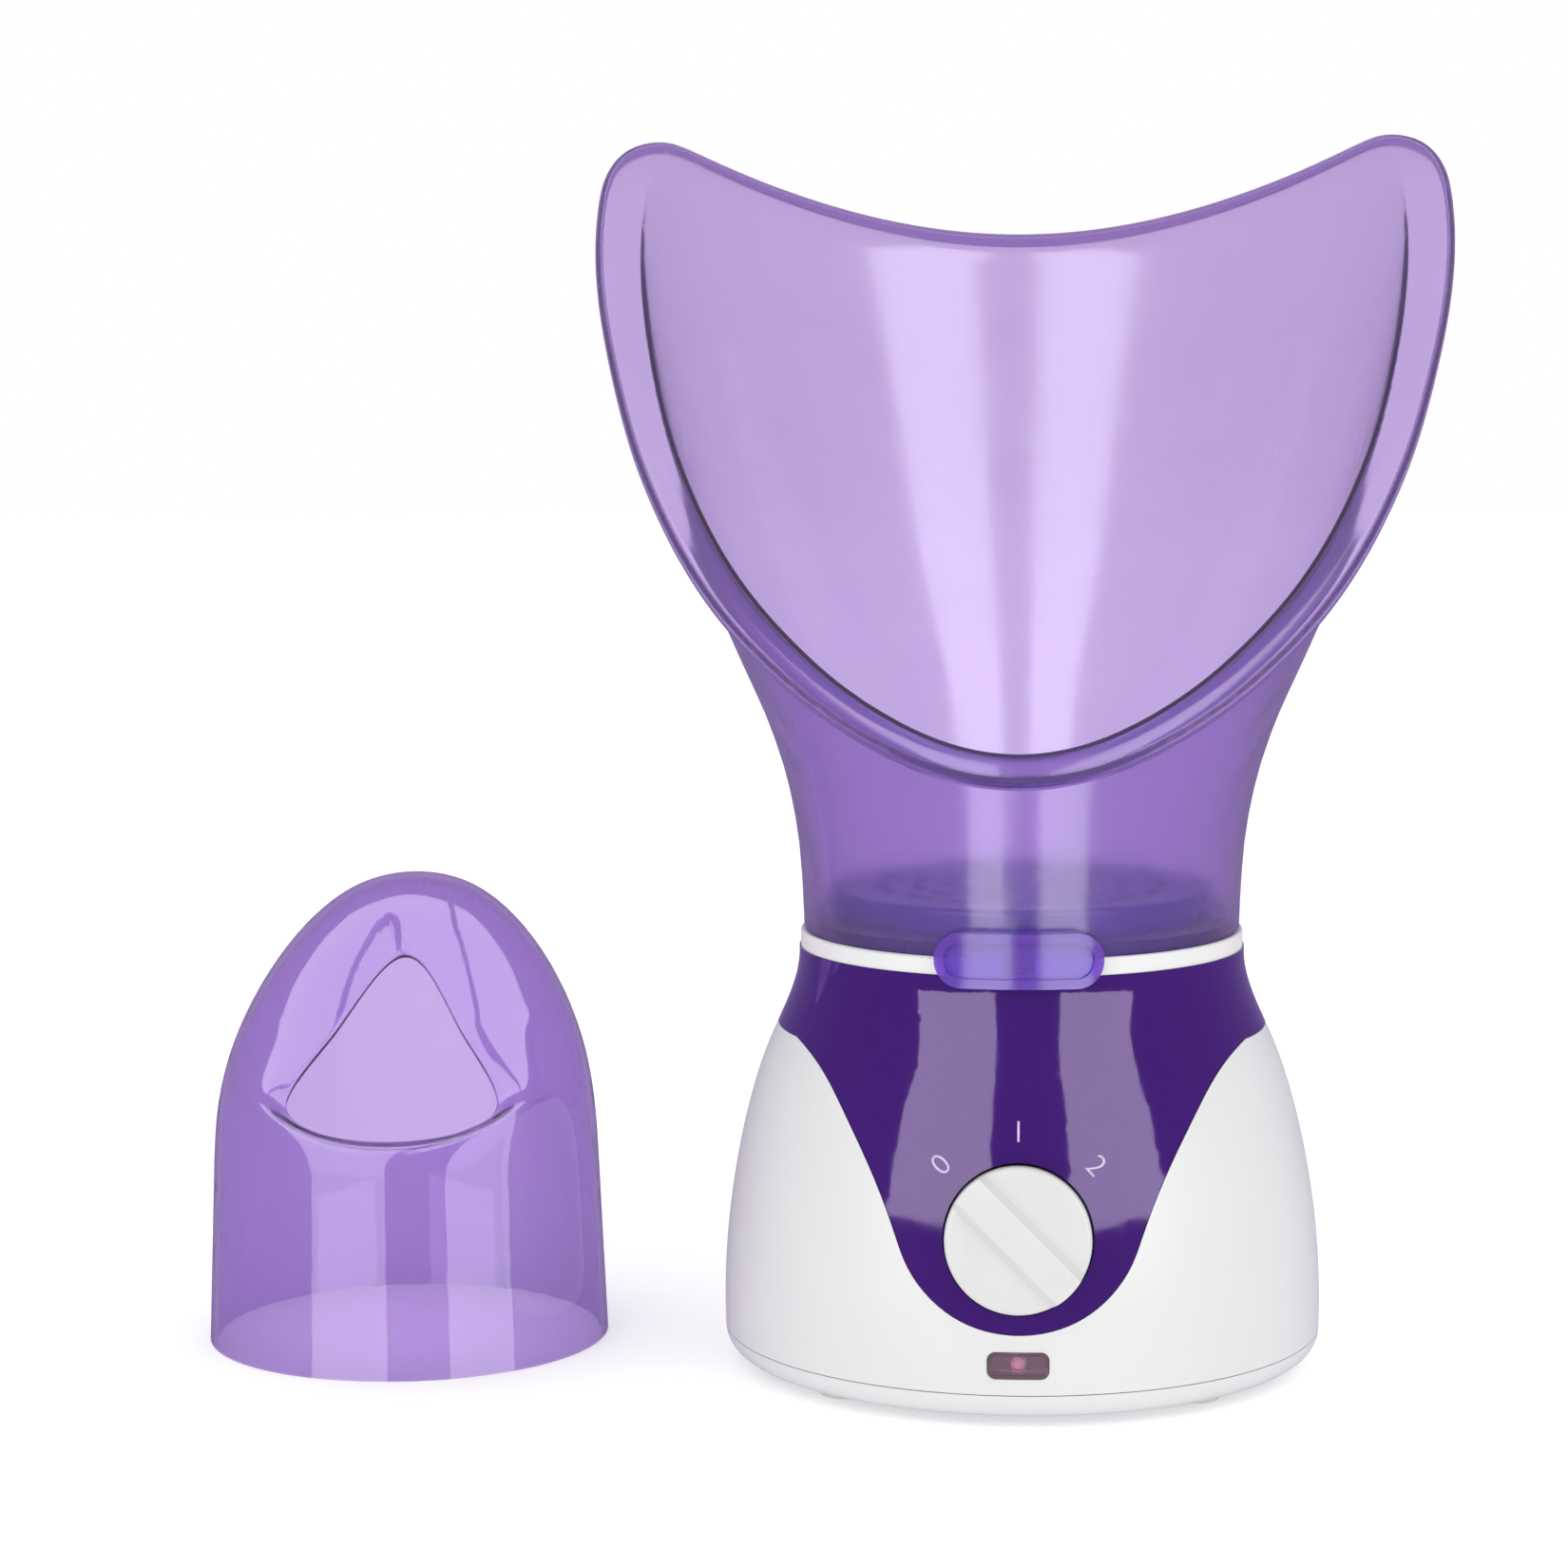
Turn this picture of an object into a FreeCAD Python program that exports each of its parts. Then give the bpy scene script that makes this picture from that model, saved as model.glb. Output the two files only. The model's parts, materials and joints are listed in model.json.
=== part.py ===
"""Facial steamer with a face hood, a splash guard and a spare nose mask.

Millimetres. +Z is up and the front faces -Y. The origin is on the table, on the axis of the round base.
"""

import FreeCAD
import Part
import math
import os

V = FreeCAD.Vector

# ---- fits and walls -------------------------------------------------------------------------
SEAM_GAP = 0.25         # visible joint line between two mouldings
MOVE_GAP = 0.3          # between pieces that move past each other
SCREW_GAP = 0.08        # round a screw or pin that doesn't turn in use
SHELL = 2.2             # wall of the base mouldings

# ---- base -----------------------------------------------------------------------------------
FOOT_H = 2.8            # table to the underside of the base
SEAM_Z = 10.0           # joint line between bottom cover and housing
BASE_R = 85.2           # widest radius, at the joint line
NECK_R = 63.3           # radius at the top of the purple collar
NECK_Z = 119.4          # height of the top of the purple collar
# share of the height from seam to neck, and share of the radius gained over the neck
OUTLINE = ((0, 1), (0.22, 0.973), (0.42, 0.845), (0.62, 0.616),
           (0.745, 0.40), (0.82, 0.233), (0.90, 0.075), (1, 0))
COLLAR_Z = NECK_Z - 22.1    # lower edge of the purple collar at the sides and back
LAP = 4.0               # how far the fascia reaches in behind the housing

# ---- feet and bottom screws -----------------------------------------------------------------
FOOT_R = 6.5
FOOT_PITCH_R = BASE_R - 16.2
FOOT_STEM_R = 2.9
FOOT_STEM_H = 3.9
FOOT_ANGLES = (45, 135, 225, 315)
POST_PITCH_R = BASE_R - 13.2
POST_R = 4.4
POST_H = 16.0
POST_ANGLES = (15, 165, 205, 335)
SCREW_R = 1.5
SCREW_HEAD_R = 3.1
SCREW_HEAD_H = 2.0
SCREW_SUNK = 0.4        # cover screws' heads, below the cover's underside
LIP_H = 3.0             # cover's locating lip, above the joint line
LIP_T = 1.6
LIP_GAP = 0.2
VENT_W = 3.0
VENT_LENGTHS = (22.0, 30.0, 34.0, 30.0, 22.0)
VENT_PITCH = 8.0
RIB_T = 2.4             # webs from the screw posts to the wall

# ---- lamp -----------------------------------------------------------------------------------
LENS_W = 16.5
LENS_H = 7.2
LENS_Z = SEAM_Z + 8.1
LENS_CORNER = 2.2
LENS_SHELL = 1.2
LENS_DEPTH = 5.5
LAMP_R = 2.2
LAMP_L = 11.0
LAMP_LEAD_R = 0.3
HOLDER_T = 8.0

# ---- knob and its switch --------------------------------------------------------------------
KNOB_R = 19.7
LENS_CLEAR = 4.7        # housing between the lamp's window and the fascia
KNOB_TILT = 8.5         # degrees that the knob's axis points up
KNOB_PROUD = 4.6        # knob's face, out from the fascia
KNOB_BAR_W = 8.5
KNOB_BAR_H = 3.2
KNOB_WALL = 2.0
KNOB_AT = -45.0         # degrees from straight up, at the off mark
WELL_DEPTH = 9.0
WELL_WALL = 1.8
WELL_GAP = 0.7
TONGUE_SIDE = 13.6      # fascia beside the knob
TONGUE_BELOW = 5.7      # fascia below the knob
KNOB_Z = LENS_Z + LENS_H / 2 + LENS_CLEAR + TONGUE_BELOW + KNOB_R
# share of the half width at the knob, and share of the height from the tongue's foot to the knob
TONGUE_LOW = ((0, 0), (0.5, 0.155), (0.70, 0.34), (0.91, 0.70), (1, 1))
# share of the width gained from the knob to the collar, and share of that height
TONGUE_HIGH = ((0.156, 0.248), (0.313, 0.45), (0.489, 0.648), (0.71, 0.857), (1, 1))
TONGUE_CORNER = 64.0    # where the curve meets the collar's level edge, degrees round from the front
SHAFT_R = 3.0
SHAFT_FLAT = 1.0
SWITCH_SIDE = 24.0
SWITCH_DEPTH = 15.0
SWITCH_SCREW_OUT = 9.2  # across and up from the axis, at two opposite corners
ROTOR_R = 8.0
ROTOR_H = 3.0
TERMINAL = (6.3, 0.8, 7.0)
TERMINALS_AT = ((-7, -6), (7, -6), (0, 6))

# ---- cord entry -----------------------------------------------------------------------------
GLAND_Z = 22.0
GLAND_BORE_R = 3.3
GLAND_NECK_R = 5.0
GLAND_FLANGE_R = 7.0
GLAND_FLANGE_T = 2.0
CLAMP_Y = BASE_R - 23.2
CLAMP_POST_X = 9.0
CLAMP_POST_R = 3.4
CLAMP_T = 2.6
CLAMP_W = 9.0
CLAMP_BITE = 0.6        # how far the clamp presses into the cord
SADDLE_W = 9.0
SADDLE_L = 4.0
BLOCK_Y = BASE_R - 43.2
BLOCK_SIZE = (34.0, 13.0, 15.0)
BLOCK_PITCH = 10.0
BLOCK_ENTRY_R = 2.0
BLOCK_ENTRY_Z = FOOT_H + SHELL + 6.0
BLOCK_SCREW_R = 1.6

# ---- ring, bowl and heater ------------------------------------------------------------------
RING_R = NECK_R - 0.4
RING_TOP_Z = NECK_Z + 4.9
RING_WALL = 1.9
RING_EDGE = 0.7         # rounding of the ring's top edges
RING_SEAT = 0.1         # ring over the collar
RING_SCREW_PITCH_R = RING_R - 4.9
RING_SCREW_ANGLES = (30, 150, 270)
RING_BOSS_R = 2.4
BOWL_FLANGE_R = RING_SCREW_PITCH_R - RING_BOSS_R - 0.6
BOWL_FLANGE_T = 1.0
SHELF_R = BOWL_FLANGE_R - 2.5   # bore of the collar's inner shelf
SHELF_T = 2.2
LEDGE_R = SHELF_R - 2.0         # bore of the ring's inner ledge
LEDGE_T = 2.4
LEDGE_Z = NECK_Z - 0.8          # top of the ledge
GASKET_T = 0.95
SHELF_TOP_Z = LEDGE_Z - LEDGE_T - GASKET_T - BOWL_FLANGE_T
BOWL_R = LEDGE_R - 2.5
BOWL_DEPTH = 21.0
BOWL_WALL = 1.2
BOWL_CORNER = 10.0
SMALL_SCREW_R = 1.2
SMALL_HEAD_R = 2.3
BLOCK_X = 28.0
BLOCK_HALF_Y = 13.0
BLOCK_T = 8.0
PTC_SIZE = (40.0, 18.0, 2.4)
TAB_REACH = 5.0         # heater's tabs, out from its block
STUD_X = 33.0
STUD_R = 2.0
STRAP_T = 1.2
STRAP_HALF_Y = 6.5
NUT_R = 4.0
NUT_T = 3.0
SENSOR_Y = 26.0         # thermostat behind the heater, fuse in front of it
SENSOR_BOSS_X = 12.0
SENSOR_BOSS_R = 2.2
SENSOR_BOSS_H = 2.4
THERMOSTAT_R = 8.0
THERMOSTAT_H = 8.5
THERMOSTAT_PLATE_T = 0.8
THERMOSTAT_TAB = (0.8, 6.2, 7.0)
THERMOSTAT_TAB_X = 4.0
FUSE_R = 2.2
FUSE_L = 18.0
FUSE_LEAD_R = 0.5
FUSE_LEAD_L = 7.0
FUSE_DROP = 1.2         # fuse's sleeve, below the bowl
CLIP_T = 1.1
CLIP_L = 8.0

# ---- splash guard ---------------------------------------------------------------------------
GUARD_R = RING_R - RING_WALL - 6.3
GUARD_TOP_Z = LEDGE_Z + 17.9
GUARD_T = 1.8
GUARD_EDGE = 1.6        # rounding of the guard's top edge
GUARD_SPIGOT_R = LEDGE_R - 0.4
GUARD_SPIGOT_H = 2.2
SLOT_W = 2.2
SLOT_BRIDGE = 3.4
SLOT_ROWS = ((10.0, 4), (20.0, 8), (30.0, 12), (40.0, 16))   # radius of a row of slots, and how many

# ---- hood -----------------------------------------------------------------------------------
HOOD_R = RING_R - 1.0   # outside, at its seat
HOOD_WALL = 2.0
HOOD_SEAT_Z = RING_TOP_Z + MOVE_GAP
HOOD_TOP_Z = 349.6
HOOD_HALF_W = 123.6     # at the top, across
HOOD_HALF_D = 85.0      # at the top, from the axis to front and back
# share of the height, share of the width gained, share of the depth gained
HOOD_FLARE = ((0, 0, 0), (0.055, 0.007, 0.015), (0.12, 0.026, 0.06), (0.193, 0.076, 0.17),
              (0.266, 0.162, 0.307), (0.34, 0.282, 0.459), (0.446, 0.440, 0.61), (0.58, 0.577, 0.74),
              (0.735, 0.715, 0.85), (0.895, 0.885, 0.948), (1, 1, 1))
LIP_Z = HOOD_SEAT_Z + 53.4      # wall's edge at the chin
RIM_TILT = 57.0         # degrees from level, of the face opening
BROW_Z = HOOD_TOP_Z - 37.2      # wall's edge at the middle of the back
BROW_RISE = 29.3        # how much it rises towards the wings
BROW_RISE_AT = HOOD_HALF_W - 13.6   # at this distance from the middle
WING_ROUND = 9.0
# degrees round from the side (90 is the front), and the width of the lip turned out from the edge
HOOD_LIP = ((-90, 9.6), (-50, 11.0), (-20, 12.6), (5, 10.6), (30, 9.2), (60, 7.6), (90, 6.9))
LIP_CURL = 4.4          # edge turned back from the lip
LIP_START = 2.2         # from the wall's edge to the lip
SKIRT_R = RING_R - RING_WALL - MOVE_GAP
SKIRT_T = 2.2
SKIRT_BOTTOM_Z = LEDGE_Z + MOVE_GAP
TAB_W = 46.0
TAB_H = 15.0
TAB_Z = RING_TOP_Z - 0.1
TAB_T = 3.0
TAB_CLEAR = 1.0
TAB_BORDER = 2.6
TAB_POCKET = 0.9
LUG_W = 8.0

# ---- nose mask ------------------------------------------------------------------------------
NOSE_R = 57.8           # middle of the wall, at the foot
NOSE_CLEAR = 38.0       # table between the base and the mask
NOSE_AT = (-BASE_R - NOSE_CLEAR - NOSE_R, 16.0)
NOSE_YAW = 3.0
NOSE_TAPER = 0.042
NOSE_WALL = 1.8
# front, side and back: height where the wall starts to bend, and how strongly it bends over
NOSE_SHOULDER = (57.0, 62.0, 92.0)
NOSE_RISE = (9.0, 38.0, 54.0)
# front, side and back: how strongly the rim turns down into the hole, and its slope there in degrees
NOSE_FALL = (5.0, 18.0, 34.0)
NOSE_FALL_SLOPE = (25.0, 35.0, 50.0)
# right half of the hole seen from above: degrees round the wall, then shares of the foot's radius to the
# right and forward
NOSE_HOLE = ((-90, 0, -0.087), (-50, 0.130, -0.009), (0, 0.320, 0.268), (38, 0.540, 0.614),
             (64, 0.346, 0.754), (90, 0, 0.796))
NOSE_HOLE_Z = 65.0      # at the front of the hole
NOSE_HOLE_SLOPE = 0.92  # rise of the hole per distance back

# ---- leads ----------------------------------------------------------------------------------
WIRE_R = 1.1
WIRE_IN_BLOCK = 3.0     # how far a lead's end reaches into the terminal block
WIRE_STRAIGHT = 12.0    # straight run off a switch terminal


# ==== helpers ================================================================================
def smooth(table, x):
    """Cubic through a table's (x, value) rows, with each slope taken from its neighbours."""
    n = len(table)
    i = 0
    while i < n - 2 and x > table[i + 1][0]:
        i += 1

    def slope(k):
        low, high = max(k - 1, 0), min(k + 1, n - 1)
        return (table[high][1] - table[low][1]) / (table[high][0] - table[low][0])

    (x0, y0), (x1, y1) = table[i], table[i + 1]
    h = x1 - x0
    t = (x - x0) / h
    return ((2 * t**3 - 3 * t**2 + 1) * y0 + (t**3 - 2 * t**2 + t) * h * slope(i)
            + (3 * t**2 - 2 * t**3) * y1 + (t**3 - t**2) * h * slope(i + 1))


def around(rows, degrees):
    """The same for a table that runs from -90 (the back) to 90 (the front), and is mirrored after that."""
    folded = (degrees + 90) % 360 - 90
    folded = 180 - folded if folded > 90 else folded
    rows = [row[:2] for row in rows]
    before = (-180 - rows[1][0], rows[1][1])
    after = (180 - rows[-2][0], rows[-2][1])
    return smooth([before] + rows + [after], folded)


def lines(points):
    """Straight edges from each point to the next."""
    return [Part.makeLine(a, b) for a, b in zip(points, points[1:])]


def rz(points):
    """Points in the XZ plane from (radius, height) pairs."""
    return [V(r, 0, z) for r, z in points]


def turned(corners):
    """A solid of revolution about Z from a closed outline of (radius, height) corners.

    A third number in a corner is the radius that it is rounded to.
    """
    edges, joins = [], []
    for k, corner in enumerate(corners):
        here = V(corner[0], 0, corner[1])
        rounding = corner[2] if len(corner) > 2 else 0
        before, after = corners[k - 1], corners[(k + 1) % len(corners)]
        back = (V(before[0], 0, before[1]) - here).normalize()
        on = (V(after[0], 0, after[1]) - here).normalize()
        half = back.getAngle(on) / 2
        reach = rounding / math.tan(half)
        joins.append((here + back * reach, here + on * reach))
        if rounding:
            mid = here + (back + on).normalize() * (rounding / math.sin(half) - rounding)
            edges.append(Part.Arc(joins[-1][0], mid, joins[-1][1]).toShape())
    for k, (_, start) in enumerate(joins):
        edges.append(Part.makeLine(start, joins[(k + 1) % len(joins)][0]))
    face = Part.Face(Part.Wire(Part.__sortEdges__(edges)))
    return face.revolve(V(0, 0, 0), V(0, 0, 1), 360)


def tube(r_out, r_in, z0, z1):
    """A plain ring about Z."""
    ring = Part.makeCylinder(r_out, z1 - z0, V(0, 0, z0))
    return ring.cut(Part.makeCylinder(r_in, z1 - z0 + 2, V(0, 0, z0 - 1)))


def rod(r, z0, z1, x=0.0, y=0.0):
    """An upright cylinder."""
    return Part.makeCylinder(r, z1 - z0, V(x, y, z0))


def block(x0, x1, y0, y1, z0, z1):
    """A box between two corners."""
    return Part.makeBox(x1 - x0, y1 - y0, z1 - z0, V(x0, y0, z0))


def polar(r, degrees):
    """A point's x and y from its radius and its angle from +X."""
    a = math.radians(degrees)
    return r * math.cos(a), r * math.sin(a)


def pill(width, height, corner, depth):
    """A rounded rectangle in XZ about the origin, that reaches from y = 0 back to y = depth."""
    w, h, c = width / 2, height / 2, corner
    k = c * math.sqrt(0.5)
    edges = []
    for sx, sz in ((1, 1), (-1, 1), (-1, -1), (1, -1)):
        mid = V(sx * (w - c + k), 0, sz * (h - c + k))
        side, top = V(sx * w, 0, sz * (h - c)), V(sx * (w - c), 0, sz * h)
        first, last = (side, top) if sx * sz > 0 else (top, side)
        if edges:
            last_point = edges[-1].Vertexes[-1].Point
            if last_point.distanceToPoint(first) > 1e-6:
                edges.append(Part.makeLine(last_point, first))
        edges.append(Part.Arc(first, mid, last).toShape())
    last_point = edges[-1].Vertexes[-1].Point
    start = edges[0].Vertexes[0].Point
    if last_point.distanceToPoint(start) > 1e-6:
        edges.append(Part.makeLine(last_point, start))
    return Part.Face(Part.Wire(edges)).extrude(V(0, depth, 0))


def screw(r, head_r, head_h, length, at, down=False):
    """A pan-head screw whose head's bearing face is at a point, with its shank up or down from there."""
    shank = Part.makeCylinder(r, length)
    head = Part.makeCylinder(head_r, head_h, V(0, 0, -head_h))
    head = head.makeFillet(head_h * 0.4, [e for e in head.Edges if abs(e.BoundBox.ZMax + head_h) < 1e-6][:1])
    slot = block(-head_r * 0.6, head_r * 0.6, -0.4, 0.4, -head_h - 1, -head_h + 0.7)
    cross = block(-0.4, 0.4, -head_r * 0.6, head_r * 0.6, -head_h - 1, -head_h + 0.7)
    whole = shank.fuse(head).cut(slot).cut(cross)
    if down:
        whole.rotate(V(0, 0, 0), V(1, 0, 0), 180)
    whole.translate(at)
    return whole


def along(path, r):
    """A round wire along straight runs joined by arcs, each as large as its two runs allow."""
    points = [V(*p) for p in path]
    edges, here = [], points[0]
    for a, b, c in zip(points, points[1:], points[2:]):
        into, out = (b - a).normalize(), (c - b).normalize()
        half_turn = math.acos(max(-1.0, min(1.0, into.dot(out)))) / 2
        cut = 0.45 * min((b - a).Length, (c - b).Length)
        start, end = b - into * cut, b + out * cut
        bulge = (out - into).normalize()
        radius = cut / math.tan(half_turn)
        mid = b + bulge * (radius / math.cos(half_turn) - radius)
        edges.append(Part.LineSegment(here, start).toShape())
        edges.append(Part.Arc(start, mid, end).toShape())
        here = end
    edges.append(Part.LineSegment(here, points[-1]).toShape())
    wire = Part.Wire(edges)
    circle = Part.Circle(points[0], (points[1] - points[0]).normalize(), r).toShape()
    return wire.makePipeShell([Part.Wire(circle)], True, False)


# ==== base outline ===========================================================================
def skin_points(inset):
    """The base's outline, moved in towards the axis."""
    return rz([(NECK_R + (BASE_R - NECK_R) * gained - inset, SEAM_Z + (NECK_Z - SEAM_Z) * height)
               for height, gained in OUTLINE])


def skin_curve(inset):
    curve = Part.BSplineCurve()
    curve.interpolate(skin_points(inset))
    return curve


def skin_radius(z):
    """Outside radius of the base at a height."""
    table = tuple((p.z, p.x) for p in skin_points(0))
    return smooth(table, z)


def wall_between(outer, inner):
    """The turned wall between two insets, from the joint line to the neck."""
    out, inn = skin_curve(outer).toShape(), skin_curve(inner).toShape()
    ends = [Part.makeLine(out.Vertexes[k].Point, inn.Vertexes[k].Point) for k in (0, -1)]
    face = Part.Face(Part.Wire(Part.__sortEdges__([out, inn] + ends)))
    return face.revolve(V(0, 0, 0), V(0, 0, 1), 360)


def filled_to(inset):
    """Everything inside the base's outline, moved in by inset."""
    out = skin_curve(inset).toShape()
    bottom, top = out.Vertexes[0].Point, out.Vertexes[-1].Point
    edges = [out] + lines([top, V(0, 0, top.z), V(0, 0, bottom.z), bottom])
    face = Part.Face(Part.Wire(Part.__sortEdges__(edges)))
    return face.revolve(V(0, 0, 0), V(0, 0, 1), 360)


def fascia_region(grow):
    """The space that the fascia fills: all above the collar's edge, and a tongue down the front."""
    half = KNOB_R + TONGUE_SIDE
    foot = KNOB_Z - KNOB_R - TONGUE_BELOW
    corner = skin_radius(COLLAR_Z) * math.sin(math.radians(TONGUE_CORNER))
    right = [V(half * w, 0, foot + (KNOB_Z - foot) * h) for w, h in TONGUE_LOW]
    right += [V(half + (corner - half) * w, 0, KNOB_Z + (COLLAR_Z - KNOB_Z) * h) for w, h in TONGUE_HIGH]
    left = [V(-p.x, 0, p.z) for p in reversed(right[1:])]
    curve = Part.BSplineCurve()
    curve.interpolate(left + right)
    first, last = curve.FirstParameter, curve.LastParameter
    moved = []
    for k in range(41):
        u = first + (last - first) * k / 40
        t = curve.tangent(u)[0]
        moved.append(curve.value(u) + V(t.z, 0, -t.x) * grow)
    edge = Part.BSplineCurve()
    edge.interpolate(moved)
    far = BASE_R * 1.2
    top = NECK_Z + 5
    a, b = moved[0], moved[-1]
    rim = lines([b, V(far, 0, b.z), V(far, 0, top), V(-far, 0, top), V(-far, 0, a.z), a])
    tongue = Part.Face(Part.Wire(Part.__sortEdges__([edge.toShape()] + rim))).extrude(V(0, -far, 0))
    collar = rod(far, COLLAR_Z - grow, top)
    return collar.fuse(tongue)


# ==== knob's own frame =======================================================================
def knob_frame():
    """Carries +Z onto the knob's axis and the origin onto the fascia's face there."""
    turn = FreeCAD.Rotation(V(1, 0, 0), 90 - KNOB_TILT)
    return FreeCAD.Placement(V(0, -skin_radius(KNOB_Z), KNOB_Z), turn)


def placed(shape, placement):
    out = shape.copy()
    out.transformShape(placement.toMatrix(), True)
    return out


# ==== free-form shells =======================================================================
def shell_from_grid(grid, thickness):
    """A closed solid wall about a closed band of points.

    grid[i][k] runs round the piece by i, and by k from its foot, which is level, to its free edge.
    """
    n, m = len(grid), len(grid[0])
    rows = []
    for i in range(n):
        outer, inner = [], []
        for k in range(m):
            round_it = grid[(i + 1) % n][k] - grid[i - 1][k]
            up = grid[i][min(k + 1, m - 1)] - grid[i][max(k - 1, 0)]
            normal = round_it.cross(up)
            if k == 0:
                normal.z = 0
            normal.normalize()
            outer.append(grid[i][k] + normal * (thickness / 2))
            inner.append(grid[i][k] - normal * (thickness / 2))
        end = (grid[i][-1] - grid[i][-2]).normalize() * (thickness * 0.6)
        rows.append(outer + [outer[-1] + end, inner[-1] + end] + inner[::-1])
    v_count = len(rows[0])
    surface = Part.BSplineSurface()
    v_inner = v_count - 4
    surface.buildFromPolesMultsKnots(
        rows, [1] * (n + 1), [4] + [1] * v_inner + [4],
        list(range(n + 1)), list(range(v_inner + 2)), True, False, 3, 3)
    band = surface.toShape()
    foot_z = grid[0][0].z
    rims = [Part.Wire(e) for e in band.Edges if e.BoundBox.ZMax < foot_z + 1e-4]
    rims.sort(key=lambda w: -w.Length)
    foot = Part.Face(rims)
    shell = Part.Shell([band, foot])
    shell.sewShape()
    solid = Part.Solid(shell)
    if solid.Volume < 0:
        solid.reverse()
    return solid


# ==== bottom of the base =====================================================================
def bottom_cover():
    bend = SEAM_Z - SEAM_GAP - FOOT_H
    flat_r = BASE_R - bend
    top = SEAM_Z - SEAM_GAP
    k = math.sqrt(0.5)
    floor = FOOT_H + SHELL
    lip_out = BASE_R - SHELL - LIP_GAP
    lip_in = lip_out - LIP_T
    middle = V(flat_r + bend * k, 0, top - bend * k)
    outer = Part.Arc(V(BASE_R, 0, top), middle, V(flat_r, 0, FOOT_H)).toShape()
    rest = lines([V(flat_r, 0, FOOT_H), V(0, 0, FOOT_H), V(0, 0, floor), V(flat_r - 2, 0, floor),
                  V(lip_in, 0, floor + LIP_H), V(lip_in, 0, SEAM_Z + LIP_H), V(lip_out, 0, SEAM_Z + LIP_H),
                  V(lip_out, 0, top), V(BASE_R, 0, top)])
    cover = Part.Face(Part.Wire([outer] + rest)).revolve(V(0, 0, 0), V(0, 0, 1), 360)
    for a in POST_ANGLES:
        x, y = polar(POST_PITCH_R, a)
        cover = cover.fuse(rod(POST_R, FOOT_H, SEAM_Z - SEAM_GAP, x, y))
        cover = cover.cut(rod(SCREW_R + SCREW_GAP, 0, SEAM_Z + 1, x, y))
        cover = cover.cut(rod(SCREW_HEAD_R + MOVE_GAP, 0, FOOT_H + SCREW_HEAD_H + SCREW_SUNK, x, y))
    for a in FOOT_ANGLES:
        x, y = polar(FOOT_PITCH_R, a)
        cover = cover.cut(rod(FOOT_STEM_R + SCREW_GAP, 0, floor + 1, x, y))
    middle = (len(VENT_LENGTHS) - 1) / 2
    for k, length in enumerate(VENT_LENGTHS):
        y = (k - middle) * VENT_PITCH
        cover = cover.cut(block(-length / 2, length / 2, y - VENT_W / 2, y + VENT_W / 2, 0, floor + 1))
    for sx in (-1, 1):
        post = rod(CLAMP_POST_R, FOOT_H, clamp_z(), sx * CLAMP_POST_X, CLAMP_Y)
        cover = cover.fuse(post).cut(rod(SMALL_SCREW_R + SCREW_GAP, FOOT_H + 4, clamp_z() + 1,
                                         sx * CLAMP_POST_X, CLAMP_Y))
    saddle_top = GLAND_Z - GLAND_BORE_R - 0.5
    return cover.fuse(block(-SADDLE_W / 2, SADDLE_W / 2, CLAMP_Y - SADDLE_L / 2, CLAMP_Y + SADDLE_L / 2,
                            FOOT_H + 1, saddle_top))


def clamp_z():
    """Underside of the bar that holds the cord down."""
    return GLAND_Z + GLAND_BORE_R - CLAMP_BITE


def rubber_feet():
    feet = []
    for a in FOOT_ANGLES:
        x, y = polar(FOOT_PITCH_R, a)
        pad = rod(FOOT_R, 0, FOOT_H)
        pad = pad.makeFillet(0.8, [e for e in pad.Edges if e.BoundBox.ZMax < 1e-6])
        foot = pad.fuse(rod(FOOT_STEM_R, FOOT_H - 0.5, FOOT_H + FOOT_STEM_H))
        foot.translate(V(x, y, 0))
        feet.append(foot)
    return feet


def cover_screws():
    out = []
    for a in POST_ANGLES:
        x, y = polar(POST_PITCH_R, a)
        out.append(screw(SCREW_R, SCREW_HEAD_R, SCREW_HEAD_H, POST_H,
                         V(x, y, FOOT_H + SCREW_HEAD_H + SCREW_SUNK)))
    return out


# ==== housing and fascia =====================================================================
def housing():
    inside = filled_to(SHELL / 2)
    hole = Part.makeCylinder(GLAND_NECK_R + SCREW_GAP, 40, V(0, BASE_R - 20, GLAND_Z), V(0, 1, 0))
    shell = wall_between(0, SHELL).cut(hole).cut(lens_prism(SEAM_GAP / 2))
    shell = shell.cut(fascia_region(SEAM_GAP / 2))
    rebate = wall_between(SHELL / 2, SHELL + 1).common(fascia_region(LAP + SEAM_GAP))
    shell = shell.cut(rebate)
    post_top = SEAM_Z + POST_H
    for a in POST_ANGLES:
        x, y = polar(POST_PITCH_R, a)
        post = rod(POST_R, SEAM_Z, post_top, x, y)
        web = block(0, BASE_R, -RIB_T / 2, RIB_T / 2, SEAM_Z + LIP_H + 0.6, post_top)
        web = web.cut(rod(POST_PITCH_R, 0, 2 * post_top))
        web.rotate(V(0, 0, 0), V(0, 0, 1), a)
        post = post.fuse(web.common(inside))
        shell = shell.fuse(post).cut(rod(SCREW_R + SCREW_GAP, 0, post_top - 1.5, x, y))
    return shell


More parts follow.
